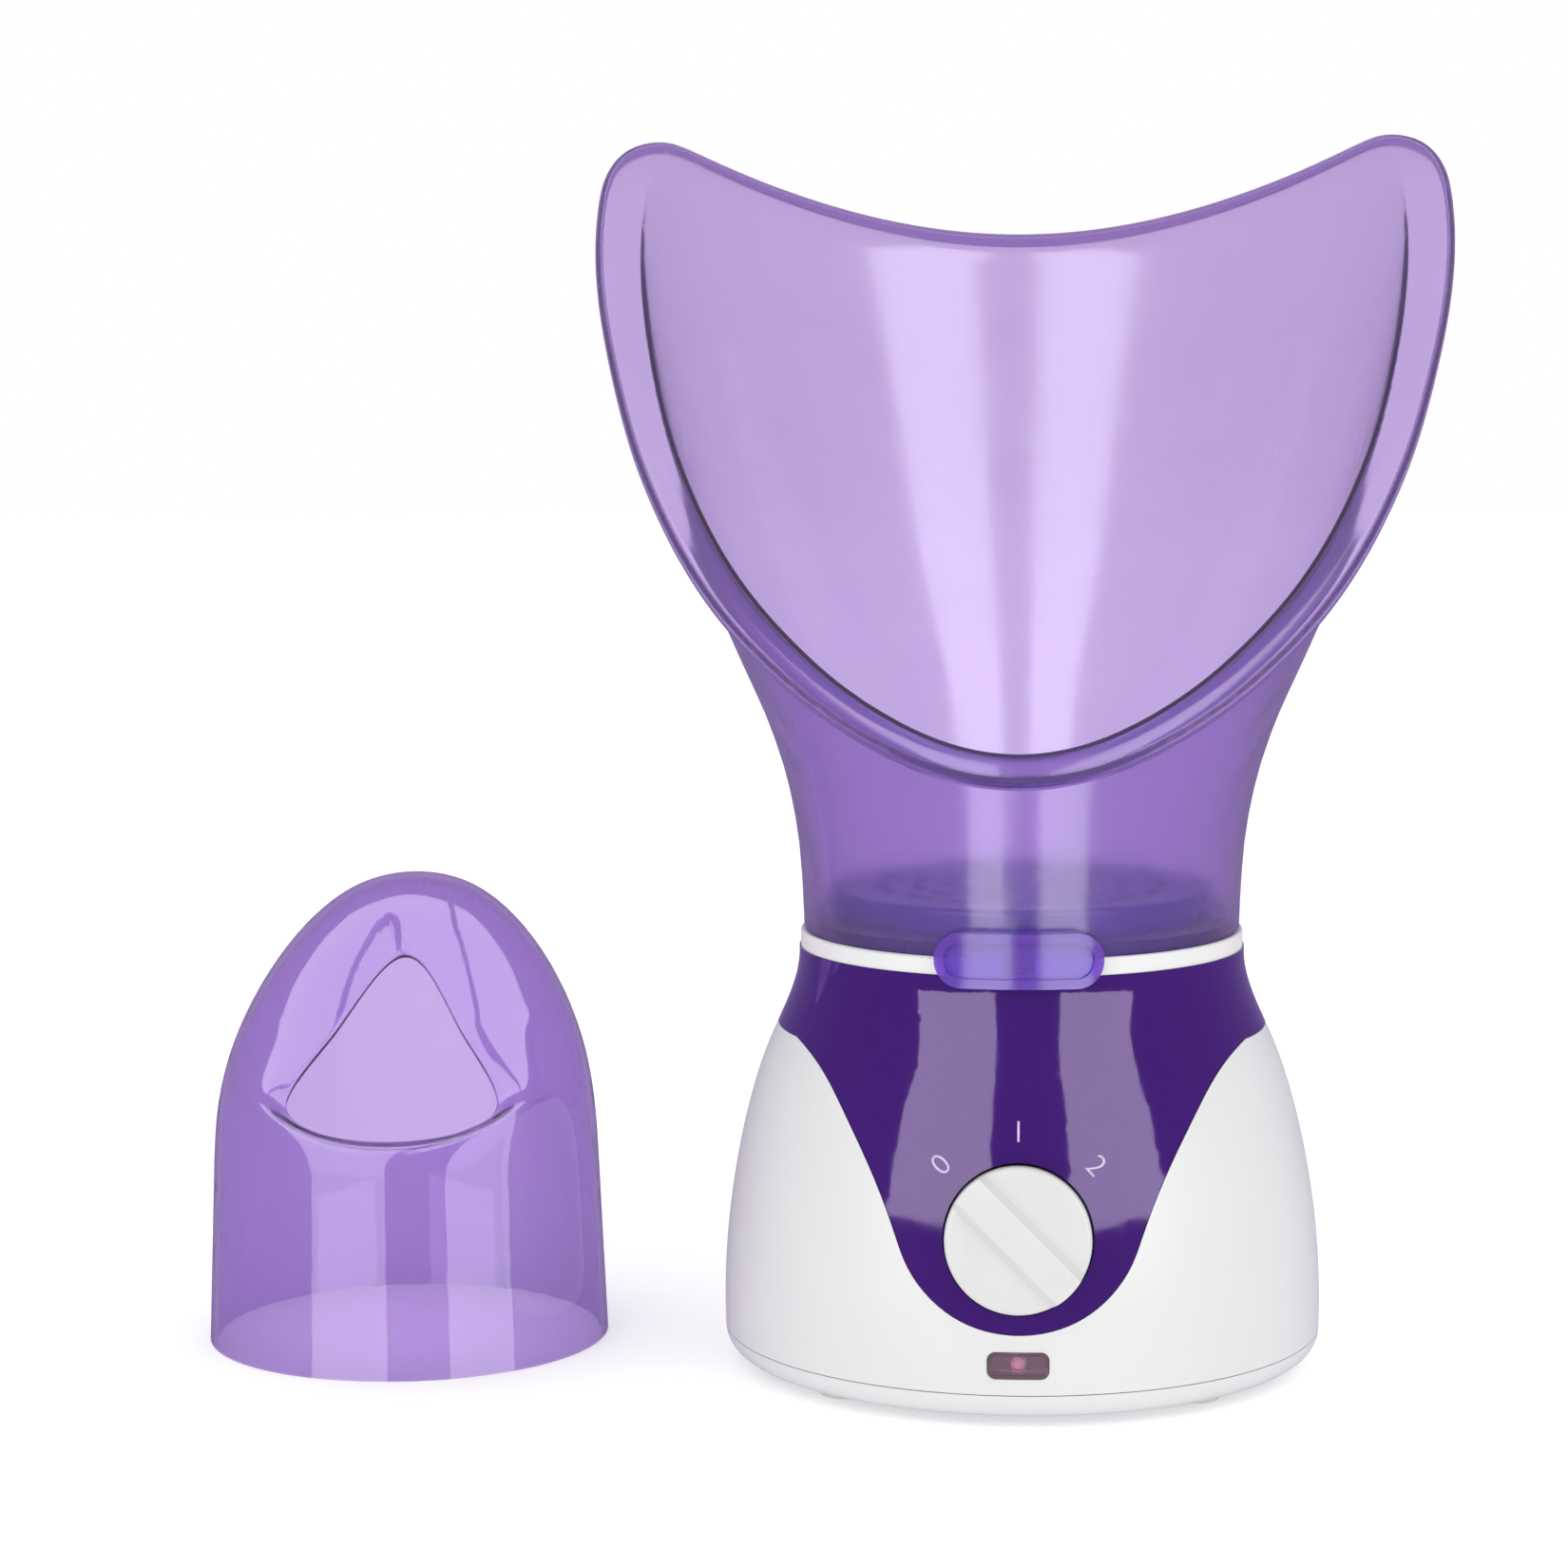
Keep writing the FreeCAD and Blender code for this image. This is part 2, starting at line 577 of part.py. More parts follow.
def fascia():
    shell = wall_between(0, SHELL).common(fascia_region(-SEAM_GAP / 2))
    lap = wall_between(SHELL / 2 + 0.1, SHELL).common(fascia_region(LAP))
    shell = shell.fuse(lap)
    place = knob_frame()
    well_r = KNOB_R + WELL_GAP
    cup = rod(well_r + WELL_WALL, -WELL_DEPTH - WELL_WALL, KNOB_PROUD)
    cup = placed(cup, place).common(filled_to(SHELL / 2))
    bore = placed(rod(well_r, -WELL_DEPTH, KNOB_PROUD + 20), place)
    shell = shell.fuse(cup).cut(bore)
    shell = shell.cut(placed(rod(SHAFT_R + 1.2, -WELL_DEPTH - 5, 0), place))
    for sx in (-1, 1):
        hole = rod(SMALL_SCREW_R + SCREW_GAP, -WELL_DEPTH - 5, 0,
                   sx * SWITCH_SCREW_OUT, sx * SWITCH_SCREW_OUT)
        shell = shell.cut(placed(hole, place))
    shelf = tube(skin_radius(SHELF_TOP_Z) - SHELL / 2, SHELF_R, SHELF_TOP_Z - SHELF_T, SHELF_TOP_Z)
    shell = shell.fuse(shelf)
    for a in RING_SCREW_ANGLES:
        x, y = polar(RING_SCREW_PITCH_R, a)
        shell = shell.cut(rod(SMALL_SCREW_R + SCREW_GAP, SHELF_TOP_Z - 5, SHELF_TOP_Z + 1, x, y))
    return shell


# ==== ring, bowl and heater ==================================================================
def trim_ring():
    inner = RING_R - RING_WALL
    ledge_out = NECK_R - SHELL - 0.3
    seat = NECK_Z + RING_SEAT
    ring = turned([(LEDGE_R, LEDGE_Z - LEDGE_T), (ledge_out, LEDGE_Z - LEDGE_T), (ledge_out, seat),
                   (RING_R, seat), (RING_R, RING_TOP_Z, RING_EDGE), (inner, RING_TOP_Z, RING_EDGE),
                   (inner, LEDGE_Z), (LEDGE_R, LEDGE_Z)])
    for a in RING_SCREW_ANGLES:
        x, y = polar(RING_SCREW_PITCH_R, a)
        ring = ring.fuse(rod(RING_BOSS_R, SHELF_TOP_Z, LEDGE_Z - LEDGE_T + 0.5, x, y))
        ring = ring.cut(rod(SMALL_SCREW_R + SCREW_GAP, SHELF_TOP_Z - 1, LEDGE_Z - 0.7, x, y))
    notch = block(-LUG_W / 2 - MOVE_GAP, LUG_W / 2 + MOVE_GAP, -RING_R - 2, -inner + 1.5,
                  lug_bottom() - MOVE_GAP, RING_TOP_Z + 1)
    return ring.cut(notch)


def lug_bottom():
    return NECK_Z + 1.2


def ring_screws():
    length = LEDGE_Z - 1.0 - SHELF_TOP_Z + SHELF_T
    out = []
    for a in RING_SCREW_ANGLES:
        x, y = polar(RING_SCREW_PITCH_R, a)
        out.append(screw(SMALL_SCREW_R, SMALL_HEAD_R, 1.8, length, V(x, y, SHELF_TOP_Z - SHELF_T)))
    return out


def bowl_gasket():
    top = LEDGE_Z - LEDGE_T
    return tube(BOWL_FLANGE_R - 0.2, LEDGE_R + 0.5, top - GASKET_T, top)


def bowl_levels():
    """Top of the bowl's flange, and the outside of its bottom."""
    top = LEDGE_Z - LEDGE_T - GASKET_T
    return top, top - BOWL_DEPTH - BOWL_WALL


def water_bowl():
    top, under = bowl_levels()
    k = math.sqrt(0.5)
    c_in, c_out = BOWL_CORNER, BOWL_CORNER + BOWL_WALL
    r_out = BOWL_R + BOWL_WALL
    floor = under + BOWL_WALL
    arc_in = Part.Arc(V(BOWL_R, 0, floor + c_in), V(BOWL_R - c_in + c_in * k, 0, floor + c_in - c_in * k),
                      V(BOWL_R - c_in, 0, floor)).toShape()
    arc_out = Part.Arc(V(BOWL_R - c_in, 0, under), V(BOWL_R - c_in + c_out * k, 0, under + c_out - c_out * k),
                       V(r_out, 0, floor + c_in)).toShape()
    edges = [Part.makeLine(V(BOWL_R, 0, top), V(BOWL_R, 0, floor + c_in)), arc_in]
    edges += lines([V(BOWL_R - c_in, 0, floor), V(0, 0, floor), V(0, 0, under), V(BOWL_R - c_in, 0, under)])
    edges += [arc_out]
    edges += lines([V(r_out, 0, floor + c_in), V(r_out, 0, top - BOWL_FLANGE_T),
                    V(BOWL_FLANGE_R, 0, top - BOWL_FLANGE_T), V(BOWL_FLANGE_R, 0, top), V(BOWL_R, 0, top)])
    bowl = Part.Face(Part.Wire(edges)).revolve(V(0, 0, 0), V(0, 0, 1), 360)
    for sx in (-1, 1):
        bowl = bowl.fuse(rod(STUD_R, strap_z() - NUT_T - 1.5, under + BOWL_WALL / 2, sx * STUD_X, 0))
        x = sx * SENSOR_BOSS_X
        bowl = bowl.fuse(rod(SENSOR_BOSS_R, under - SENSOR_BOSS_H, under + BOWL_WALL / 2, x, SENSOR_Y))
        bowl = bowl.cut(rod(SMALL_SCREW_R + SCREW_GAP, under - 20, under - 0.4, x, SENSOR_Y))
    return bowl


def strap_z():
    """Underside of the heater's strap."""
    return bowl_levels()[1] - BLOCK_T - STRAP_T


def heater_block():
    under = bowl_levels()[1]
    body = block(-BLOCK_X, BLOCK_X, -BLOCK_HALF_Y, BLOCK_HALF_Y, under - BLOCK_T, under)
    body = body.makeFillet(1.5, [e for e in body.Edges if e.BoundBox.ZLength > BLOCK_T - 1e-6])
    length, width, thick = PTC_SIZE
    middle = under - BLOCK_T / 2
    return body.cut(block(-length / 2 - 0.1, BLOCK_X + 1, -width / 2 - 0.1, width / 2 + 0.1,
                          middle - thick / 2 - 0.05, middle + thick / 2 + 0.05))


def ptc_element():
    length, width, thick = PTC_SIZE
    middle = bowl_levels()[1] - BLOCK_T / 2
    stone = block(-length / 2, length / 2, -width / 2, width / 2, middle - thick / 2, middle + thick / 2)
    for sy in (-1, 1):
        y = sy * width / 4
        stone = stone.fuse(block(length / 2 - 2, BLOCK_X + TAB_REACH, y - 2.4, y + 2.4,
                                 middle - 0.25, middle + 0.25))
    return stone


def heater_strap():
    z = strap_z()
    strap = block(-STUD_X - 5, STUD_X + 5, -STRAP_HALF_Y, STRAP_HALF_Y, z, z + STRAP_T)
    strap = strap.makeFillet(3, [e for e in strap.Edges if e.BoundBox.ZLength > STRAP_T - 1e-6])
    for sx in (-1, 1):
        strap = strap.cut(rod(STUD_R + 0.15, z - 1, z + STRAP_T + 1, sx * STUD_X, 0))
    return strap


def strap_nuts():
    z = strap_z()
    out = []
    for sx in (-1, 1):
        corners = [V(*polar(NUT_R, 60 * k), z - NUT_T) for k in range(7)]
        nut = Part.Face(Part.makePolygon(corners)).extrude(V(0, 0, NUT_T))
        nut.translate(V(sx * STUD_X, 0, 0))
        out.append(nut.cut(rod(STUD_R + SCREW_GAP, z - NUT_T - 1, z + 1, sx * STUD_X, 0)))
    return out


def thermostat():
    top = bowl_levels()[1]
    plate_top = top - SENSOR_BOSS_H
    plate_low = plate_top - THERMOSTAT_PLATE_T
    reach = SENSOR_BOSS_X + 3
    cap = rod(THERMOSTAT_R, plate_low, top, 0, SENSOR_Y)
    plate = block(-reach, reach, SENSOR_Y - 4, SENSOR_Y + 4, plate_low, plate_top)
    for sx in (-1, 1):
        x = sx * SENSOR_BOSS_X
        plate = plate.cut(rod(SMALL_SCREW_R + 0.15, plate_low - 1, plate_top + 1, x, SENSOR_Y))
    body = rod(THERMOSTAT_R - 0.6, top - THERMOSTAT_H, plate_top, 0, SENSOR_Y)
    whole = cap.fuse(plate).fuse(body)
    thick, width, length = THERMOSTAT_TAB
    for sx in (-1, 1):
        x = sx * THERMOSTAT_TAB_X
        whole = whole.fuse(block(x - thick / 2, x + thick / 2, SENSOR_Y - width / 2, SENSOR_Y + width / 2,
                                 top - THERMOSTAT_H - length, top - THERMOSTAT_H + 1))
    return whole


def thermostat_screws():
    z = bowl_levels()[1] - SENSOR_BOSS_H - THERMOSTAT_PLATE_T
    return [screw(SMALL_SCREW_R, SMALL_HEAD_R, 1.6, 2.6, V(sx * SENSOR_BOSS_X, SENSOR_Y, z))
            for sx in (-1, 1)]


def thermal_fuse():
    under = bowl_levels()[1]
    y, z = -SENSOR_Y, under - FUSE_DROP - FUSE_R
    start = -FUSE_L / 2
    sleeve = Part.makeCylinder(FUSE_R, FUSE_L, V(start, y, z), V(1, 0, 0))
    lead = Part.makeCylinder(FUSE_LEAD_R, FUSE_L + 2 * FUSE_LEAD_L, V(start - FUSE_LEAD_L, y, z), V(1, 0, 0))
    return sleeve.fuse(lead)


def fuse_clip():
    under = bowl_levels()[1]
    y, z = -SENSOR_Y, under - FUSE_DROP - FUSE_R
    half, r_out = CLIP_L / 2, FUSE_R + CLIP_T
    ring = Part.makeCylinder(r_out, CLIP_L, V(-half, y, z), V(1, 0, 0))
    pad = block(-half, half, y - 8, y + r_out, under - CLIP_T, under)
    clip = ring.fuse(pad).cut(Part.makeCylinder(FUSE_R + 0.05, CLIP_L + 4, V(-half - 2, y, z), V(1, 0, 0)))
    return clip.common(block(-half - 1, half + 1, y - 10, y + 6, z - 6, under))


# ==== knob and switch ========================================================================
def knob():
    face = KNOB_PROUD
    skirt_end = -WELL_DEPTH + 1.0
    disc = rod(KNOB_R, skirt_end, face)
    disc = disc.makeFillet(1.4, [e for e in disc.Edges if e.BoundBox.ZMin > face - 1e-6])
    half = KNOB_BAR_W / 2
    foot = half + 2.4
    outline = [V(-foot, 0, face - 1), V(foot, 0, face - 1), V(half, 0, face + KNOB_BAR_H),
               V(-half, 0, face + KNOB_BAR_H)]
    bar = Part.Face(Part.makePolygon(outline + outline[:1])).extrude(V(0, 2 * KNOB_R, 0))
    bar.translate(V(0, -KNOB_R, 0))
    bar = bar.makeFillet(1.2, [e for e in bar.Edges
                               if e.BoundBox.YLength > KNOB_R and e.BoundBox.ZMin > face])
    bar = bar.common(rod(KNOB_R - 0.15, face - 1, face + 2 * KNOB_BAR_H))
    body = disc.fuse(bar)
    body = body.cut(rod(KNOB_R - KNOB_WALL, skirt_end - 1, face - KNOB_WALL))
    boss = rod(SHAFT_R + 2.4, skirt_end + 1.5, face - KNOB_WALL + 0.5)
    body = body.fuse(boss)
    socket = rod(SHAFT_R + 0.06, skirt_end - 1, face - KNOB_WALL - 0.5)
    flat = block(-SHAFT_R - 1, SHAFT_R + 1, SHAFT_R - SHAFT_FLAT + 0.06, SHAFT_R + 1, skirt_end - 1, face)
    body = body.cut(socket.cut(flat))
    body.rotate(V(0, 0, 0), V(0, 0, 1), -KNOB_AT)
    return placed(body, knob_frame())


def switch_shaft():
    front = KNOB_PROUD - KNOB_WALL - 0.8
    back = -WELL_DEPTH - WELL_WALL - 2.6
    shaft = rod(SHAFT_R, back - 1, front)
    flat_from = -WELL_DEPTH + 2.5
    flat = block(-SHAFT_R - 1, SHAFT_R + 1, SHAFT_R - SHAFT_FLAT, SHAFT_R + 1, flat_from, front + 1)
    rotor = rod(ROTOR_R, back - ROTOR_H, back)
    cam = rod(2.0, back - ROTOR_H - 1.2, back - ROTOR_H + 0.2, 0, ROTOR_R - 2.5)
    whole = shaft.cut(flat).fuse(rotor).fuse(cam)
    whole.rotate(V(0, 0, 0), V(0, 0, 1), -KNOB_AT)
    return placed(whole, knob_frame())


def switch_front():
    return -WELL_DEPTH - WELL_WALL


def switch_body():
    front = switch_front()
    half = SWITCH_SIDE / 2
    body = block(-half, half, -half, half, front - SWITCH_DEPTH, front)
    body = body.makeFillet(2, [e for e in body.Edges if e.BoundBox.ZLength > SWITCH_DEPTH - 1e-6])
    room = rod(ROTOR_R + MOVE_GAP, front - 2.6 - ROTOR_H - 1.8, front - 2.6 + MOVE_GAP)
    body = body.cut(room).cut(rod(SHAFT_R + 0.06, front - 5, front + 1))
    for sx in (-1, 1):
        body = body.cut(rod(SMALL_SCREW_R + SCREW_GAP, front - 8, front + 1,
                            sx * SWITCH_SCREW_OUT, sx * SWITCH_SCREW_OUT))
    return placed(body, knob_frame())


def switch_terminals():
    width, thick, length = TERMINAL
    back = switch_front() - SWITCH_DEPTH
    out = []
    for x, y in TERMINALS_AT:
        blade = block(x - thick / 2, x + thick / 2, y - width / 2, y + width / 2, back - length, back)
        out.append(placed(blade, knob_frame()))
    return out


def switch_screws():
    out = []
    for sx in (-1, 1):
        at = V(sx * SWITCH_SCREW_OUT, sx * SWITCH_SCREW_OUT, -WELL_DEPTH)
        one = screw(SMALL_SCREW_R, SMALL_HEAD_R, 1.4, WELL_WALL + 6, at, down=True)
        out.append(placed(one, knob_frame()))
    return out


# ==== lamp ===================================================================================
def lens_prism(grow):
    """The window's shape, right through the front of the housing."""
    prism = pill(LENS_W + 2 * grow, LENS_H + 2 * grow, LENS_CORNER + grow, 12)
    prism.translate(V(0, -BASE_R - 2, LENS_Z))
    return prism


def lamp_lens():
    ring = tube(BASE_R + 0.4, BASE_R - LENS_DEPTH, SEAM_Z, SEAM_Z + 20)
    window = lens_prism(-0.05).common(ring)
    hollow = pill(LENS_W - 2 * LENS_SHELL, LENS_H - 2 * LENS_SHELL, 1.2, 20)
    hollow.translate(V(0, -BASE_R + LENS_SHELL, LENS_Z))
    eye = Part.makeCylinder(LAMP_R - 0.3, 3, V(0, -BASE_R + 0.5, LENS_Z), V(0, 1, 0))
    return window.cut(hollow).fuse(eye)


def lamp_holder():
    front = -BASE_R + LENS_DEPTH + 0.8
    half_w, half_h = LENS_W / 2 + 1, LENS_H / 2 + 1
    body = block(-half_w, half_w, front, front + HOLDER_T, LENS_Z - half_h, LENS_Z + half_h)
    return body.cut(Part.makeCylinder(LAMP_R + SCREW_GAP, 30, V(0, -BASE_R, LENS_Z), V(0, 1, 0)))


def neon_lamp():
    tip = -BASE_R + 3.9
    glass = Part.makeCylinder(LAMP_R, LAMP_L, V(0, tip, LENS_Z), V(0, 1, 0))
    glass = glass.makeFillet(LAMP_R * 0.6, [e for e in glass.Edges if e.BoundBox.YMax < tip + 1e-6])
    for sx in (-1, 1):
        lead = Part.makeCylinder(LAMP_LEAD_R, 6, V(sx * LAMP_R / 2, tip + LAMP_L - 0.5, LENS_Z), V(0, 1, 0))
        glass = glass.fuse(lead)
    return glass


# ==== cord entry =============================================================================
def cord_gland():
    face = BASE_R - 1.4
    neck = Part.makeCylinder(GLAND_NECK_R, 8, V(0, face - 6, GLAND_Z), V(0, 1, 0))
    flange = Part.makeCylinder(GLAND_FLANGE_R, GLAND_FLANGE_T, V(0, BASE_R + 0.1, GLAND_Z), V(0, 1, 0))
    flange = flange.makeFillet(0.6, [e for e in flange.Edges
                                     if e.BoundBox.YMin > BASE_R + GLAND_FLANGE_T - 0.1])
    back = Part.makeCylinder(GLAND_FLANGE_R - 0.6, 1.6, V(0, BASE_R - SHELL - 2.6, GLAND_Z), V(0, 1, 0))
    gland = neck.fuse(flange).fuse(back)
    return gland.cut(Part.makeCylinder(GLAND_BORE_R, 60, V(0, BASE_R - 30, GLAND_Z), V(0, 1, 0)))


def cord_clamp():
    z = clamp_z()
    reach = CLAMP_POST_X + CLAMP_POST_R
    bar = block(-reach, reach, CLAMP_Y - CLAMP_W / 2, CLAMP_Y + CLAMP_W / 2, z, z + CLAMP_T)
    bar = bar.makeFillet(2.0, [e for e in bar.Edges if e.BoundBox.ZLength > CLAMP_T - 1e-6])
    for sx in (-1, 1):
        bar = bar.cut(rod(SMALL_SCREW_R + 0.15, z - 1, z + CLAMP_T + 1, sx * CLAMP_POST_X, CLAMP_Y))
    return bar


def clamp_screws():
    z = clamp_z() + CLAMP_T
    return [screw(SMALL_SCREW_R, SMALL_HEAD_R, 1.6, 10, V(sx * CLAMP_POST_X, CLAMP_Y, z), down=True)
            for sx in (-1, 1)]


def terminal_block():
    length, width, height = BLOCK_SIZE
    z0 = FOOT_H + SHELL
    body = block(-length / 2, length / 2, BLOCK_Y - width / 2, BLOCK_Y + width / 2, z0, z0 + height)
    for k in (-1, 0, 1):
        x = k * BLOCK_PITCH
        mouth = V(x, BLOCK_Y - width, BLOCK_ENTRY_Z)
        body = body.cut(Part.makeCylinder(BLOCK_ENTRY_R, 2 * width, mouth, V(0, 1, 0)))
        body = body.cut(rod(BLOCK_SCREW_R, BLOCK_ENTRY_Z, z0 + height + 1, x, BLOCK_Y))
    return body


# ==== guard, hood and nose mask ==============================================================
def splash_guard():
    foot = LEDGE_Z + MOVE_GAP
    inner = GUARD_R - GUARD_T
    spigot_in = GUARD_SPIGOT_R - GUARD_T
    guard = turned([(0, GUARD_TOP_Z - GUARD_T), (inner, GUARD_TOP_Z - GUARD_T), (inner, foot + GUARD_T),
                    (spigot_in, foot + GUARD_T), (spigot_in, foot - GUARD_SPIGOT_H),
                    (GUARD_SPIGOT_R, foot - GUARD_SPIGOT_H), (GUARD_SPIGOT_R, foot), (GUARD_R, foot),
                    (GUARD_R, GUARD_TOP_Z, GUARD_EDGE), (0, GUARD_TOP_Z)])
    z0, z1 = GUARD_TOP_Z - 3 * GUARD_T, GUARD_TOP_Z + 1
    for row, (r, count) in enumerate(SLOT_ROWS):
        ring = tube(r + SLOT_W / 2, r - SLOT_W / 2, z0, z1)
        step = 360.0 / count
        for k in range(count):
            bar = block(0, r + SLOT_W, -SLOT_BRIDGE / 2, SLOT_BRIDGE / 2, z0, z1)
            bar.rotate(V(0, 0, 0), V(0, 0, 1), step * (k + 0.5 * (row % 2)))
            ring = ring.cut(bar)
        guard = guard.cut(ring)
    return guard


def hood_size(z):
    """Half width and half depth of the hood's wall at a height, to the middle of its thickness."""
    share = (z - HOOD_SEAT_Z) / (HOOD_TOP_Z - HOOD_SEAT_Z)
    start = HOOD_R - HOOD_WALL / 2
    wide = smooth([(row[0], row[1]) for row in HOOD_FLARE], share)
    deep = smooth([(row[0], row[2]) for row in HOOD_FLARE], share)
    return start + (HOOD_HALF_W - start) * wide, start + (HOOD_HALF_D - start) * deep


def hood_point(angle, z):
    """A point on the hood's wall. 0 is the +X side, and 90 degrees the front."""
    half_w, half_d = hood_size(z)
    return V(half_w * math.cos(angle), -half_d * math.sin(angle), z)


def rim_height(angle):
    """Height at which the wall ends: on the tilted face opening, or on the brow if that is lower."""
    chin = hood_size(LIP_Z)[1]
    slope = math.tan(math.radians(RIM_TILT))
    low, high = HOOD_SEAT_Z, HOOD_TOP_Z + 40
    for _ in range(40):
        z = (low + high) / 2
        p = hood_point(angle, z)
        side = LIP_Z + (chin + p.y) * slope
        brow = BROW_Z + BROW_RISE * (p.x / BROW_RISE_AT) ** 2
        gap = abs(side - brow)
        blend = max(WING_ROUND - gap, 0) ** 2 / (4 * WING_ROUND)
        if min(side, brow) - blend > z:
            low = z
        else:
            high = z
    return low


def hood_grid():
    """Middle of the hood's wall and lip, round from the front, with stations spaced evenly on the rim."""
    fine = 1440
    rim = []
    for k in range(fine):
        a = math.pi / 2 + 2 * math.pi * k / fine
        rim.append((a, hood_point(a, rim_height(a))))
    run = [0.0]
    for (_, p), (_, q) in zip(rim, rim[1:] + rim[:1]):
        run.append(run[-1] + p.distanceToPoint(q))
    stations, k = 150, 0
    angles = []
    for i in range(stations):
        want = run[-1] * i / stations
        while run[k + 1] < want:
            k += 1
        share = (want - run[k]) / (run[k + 1] - run[k])
        angles.append(rim[k][0] + 2 * math.pi / fine * share)
    tilt = math.radians(RIM_TILT)
    opening = V(0, -math.sin(tilt), math.cos(tilt))
    tops = [hood_point(a, rim_height(a)) for a in angles]
    grid = []
    levels = 18
    for i, a in enumerate(angles):
        top = tops[i]
        column = [hood_point(a, HOOD_SEAT_Z + (top.z - HOOD_SEAT_Z) * k / levels) for k in range(levels + 1)]
        along_rim = tops[(i + 1) % stations] - tops[i - 1]
        out = along_rim.cross(opening)
        out.normalize()
        if out.dot(V(top.x, top.y, 0)) < 0:
            out = out * -1
        rise = (column[-1] - column[-2]).normalize()
        bend = top + rise * LIP_START
        lip = out * around(HOOD_LIP, math.degrees(a))
        column += [bend, bend + lip * 0.25 + opening * 0.5, bend + lip * 0.5 + opening * 0.7,
                   bend + lip * 0.78 + opening * 0.3, bend + lip - opening * 0.7,
                   bend + lip - opening * (0.7 + LIP_CURL)]
        grid.append(column)
    return grid


def face_hood():
    hood = shell_from_grid(hood_grid(), HOOD_WALL)
    skirt_in = SKIRT_R - SKIRT_T
    skirt = turned([(skirt_in, SKIRT_BOTTOM_Z), (SKIRT_R, SKIRT_BOTTOM_Z), (SKIRT_R, HOOD_SEAT_Z + 2.4),
                    (skirt_in, HOOD_SEAT_Z + 5)])
    hood = hood.fuse(skirt)
    inner = RING_R + TAB_CLEAR
    plate = tube(inner + TAB_T, inner, TAB_Z - TAB_H, TAB_Z + TAB_H)
    root = tube(inner + 0.2, HOOD_R - HOOD_WALL / 2, HOOD_SEAT_Z + 1.8, TAB_Z + TAB_H)
    outline = pill(TAB_W, TAB_H, TAB_H / 2 - 0.2, 40)
    outline.translate(V(0, -inner - 20, TAB_Z))
    tab = plate.fuse(root).common(outline)
    pocket = pill(TAB_W - 2 * TAB_BORDER, TAB_H - 2 * TAB_BORDER, TAB_H / 2 - TAB_BORDER - 0.2, 40)
    pocket.translate(V(0, -inner - 20, TAB_Z))
    hollow = tube(inner + TAB_T + 5, inner + TAB_T - TAB_POCKET, TAB_Z - TAB_H, TAB_Z + TAB_H).common(pocket)
    lug = tube(inner + 0.2, SKIRT_R - 0.5, lug_bottom(), HOOD_SEAT_Z + 2.4)
    lug = lug.common(block(-LUG_W / 2, LUG_W / 2, -RING_R - 6, 0, 0, HOOD_TOP_Z))
    return hood.fuse(tab.cut(hollow)).fuse(lug)


def three_way(values, a):
    """A value that changes smoothly round the nose mask, from its front, side and back values."""
    front, side, back = values
    t = math.sin(a)
    return side + (front - back) / 2 * t + ((front + back) / 2 - side) * t * t


def hole_edge(degrees):
    """A point of the nose mask's hole. 90 degrees is the front."""
    side = -1 if (degrees + 90) % 360 > 180 else 1
    rows = [(row[0], row[1]) for row in NOSE_HOLE]
    folded = (degrees + 90) % 360 - 90
    folded = 180 - folded if folded > 90 else folded
    before = (-180 - rows[1][0], -rows[1][1])
    after = (180 - rows[-2][0], -rows[-2][1])
    across = NOSE_R * smooth([before] + rows + [after], folded)
    ahead = NOSE_R * around([(row[0], row[2]) for row in NOSE_HOLE], degrees)
    front = NOSE_R * NOSE_HOLE[-1][2]
    return V(side * across, -ahead, NOSE_HOLE_Z + (front - ahead) * NOSE_HOLE_SLOPE)


def nose_grid():
    """Middle of the nose mask's wall, from its foot over the rim to the hole, about its own axis."""
    stations, wall_levels, rim_levels = 96, 5, 9
    grid = []
    for i in range(stations):
        degrees = 90 + 360.0 * i / stations
        a = math.radians(degrees)
        shoulder = three_way(NOSE_SHOULDER, a)
        column = []
        for k in range(wall_levels + 1):
            z = shoulder * k / wall_levels
            r = NOSE_R - NOSE_TAPER * z
            column.append(V(r * math.cos(a), -r * math.sin(a), z))
        start, end = column[-1], hole_edge(degrees)
        way = hole_edge(degrees - 1) - hole_edge(degrees + 1)
        out = V(way.y, -way.x, 0).normalize()
        if out.dot(V(math.cos(a), -math.sin(a), 0)) < 0:
            out = out * -1
        slope = math.radians(three_way(NOSE_FALL_SLOPE, a))
        fall = three_way(NOSE_FALL, a)
        lean = V(math.cos(a), -math.sin(a), 0) * (-NOSE_TAPER)
        b = start + (V(0, 0, 1) + lean) * three_way(NOSE_RISE, a)
        c = end + out * (fall * math.cos(slope)) + V(0, 0, fall * math.sin(slope))
        for k in range(1, rim_levels + 1):
            t = k / rim_levels
            near, far = 3 * t * (1 - t)**2, 3 * t * t * (1 - t)
            column.append(start * (1 - t)**3 + b * near + c * far + end * t**3)
        grid.append(column)
    return grid


def nose_mask():
    mask = shell_from_grid(nose_grid(), NOSE_WALL)
    mask.rotate(V(0, 0, 0), V(0, 0, 1), NOSE_YAW)
    mask.translate(V(NOSE_AT[0], NOSE_AT[1], 0))
    return mask


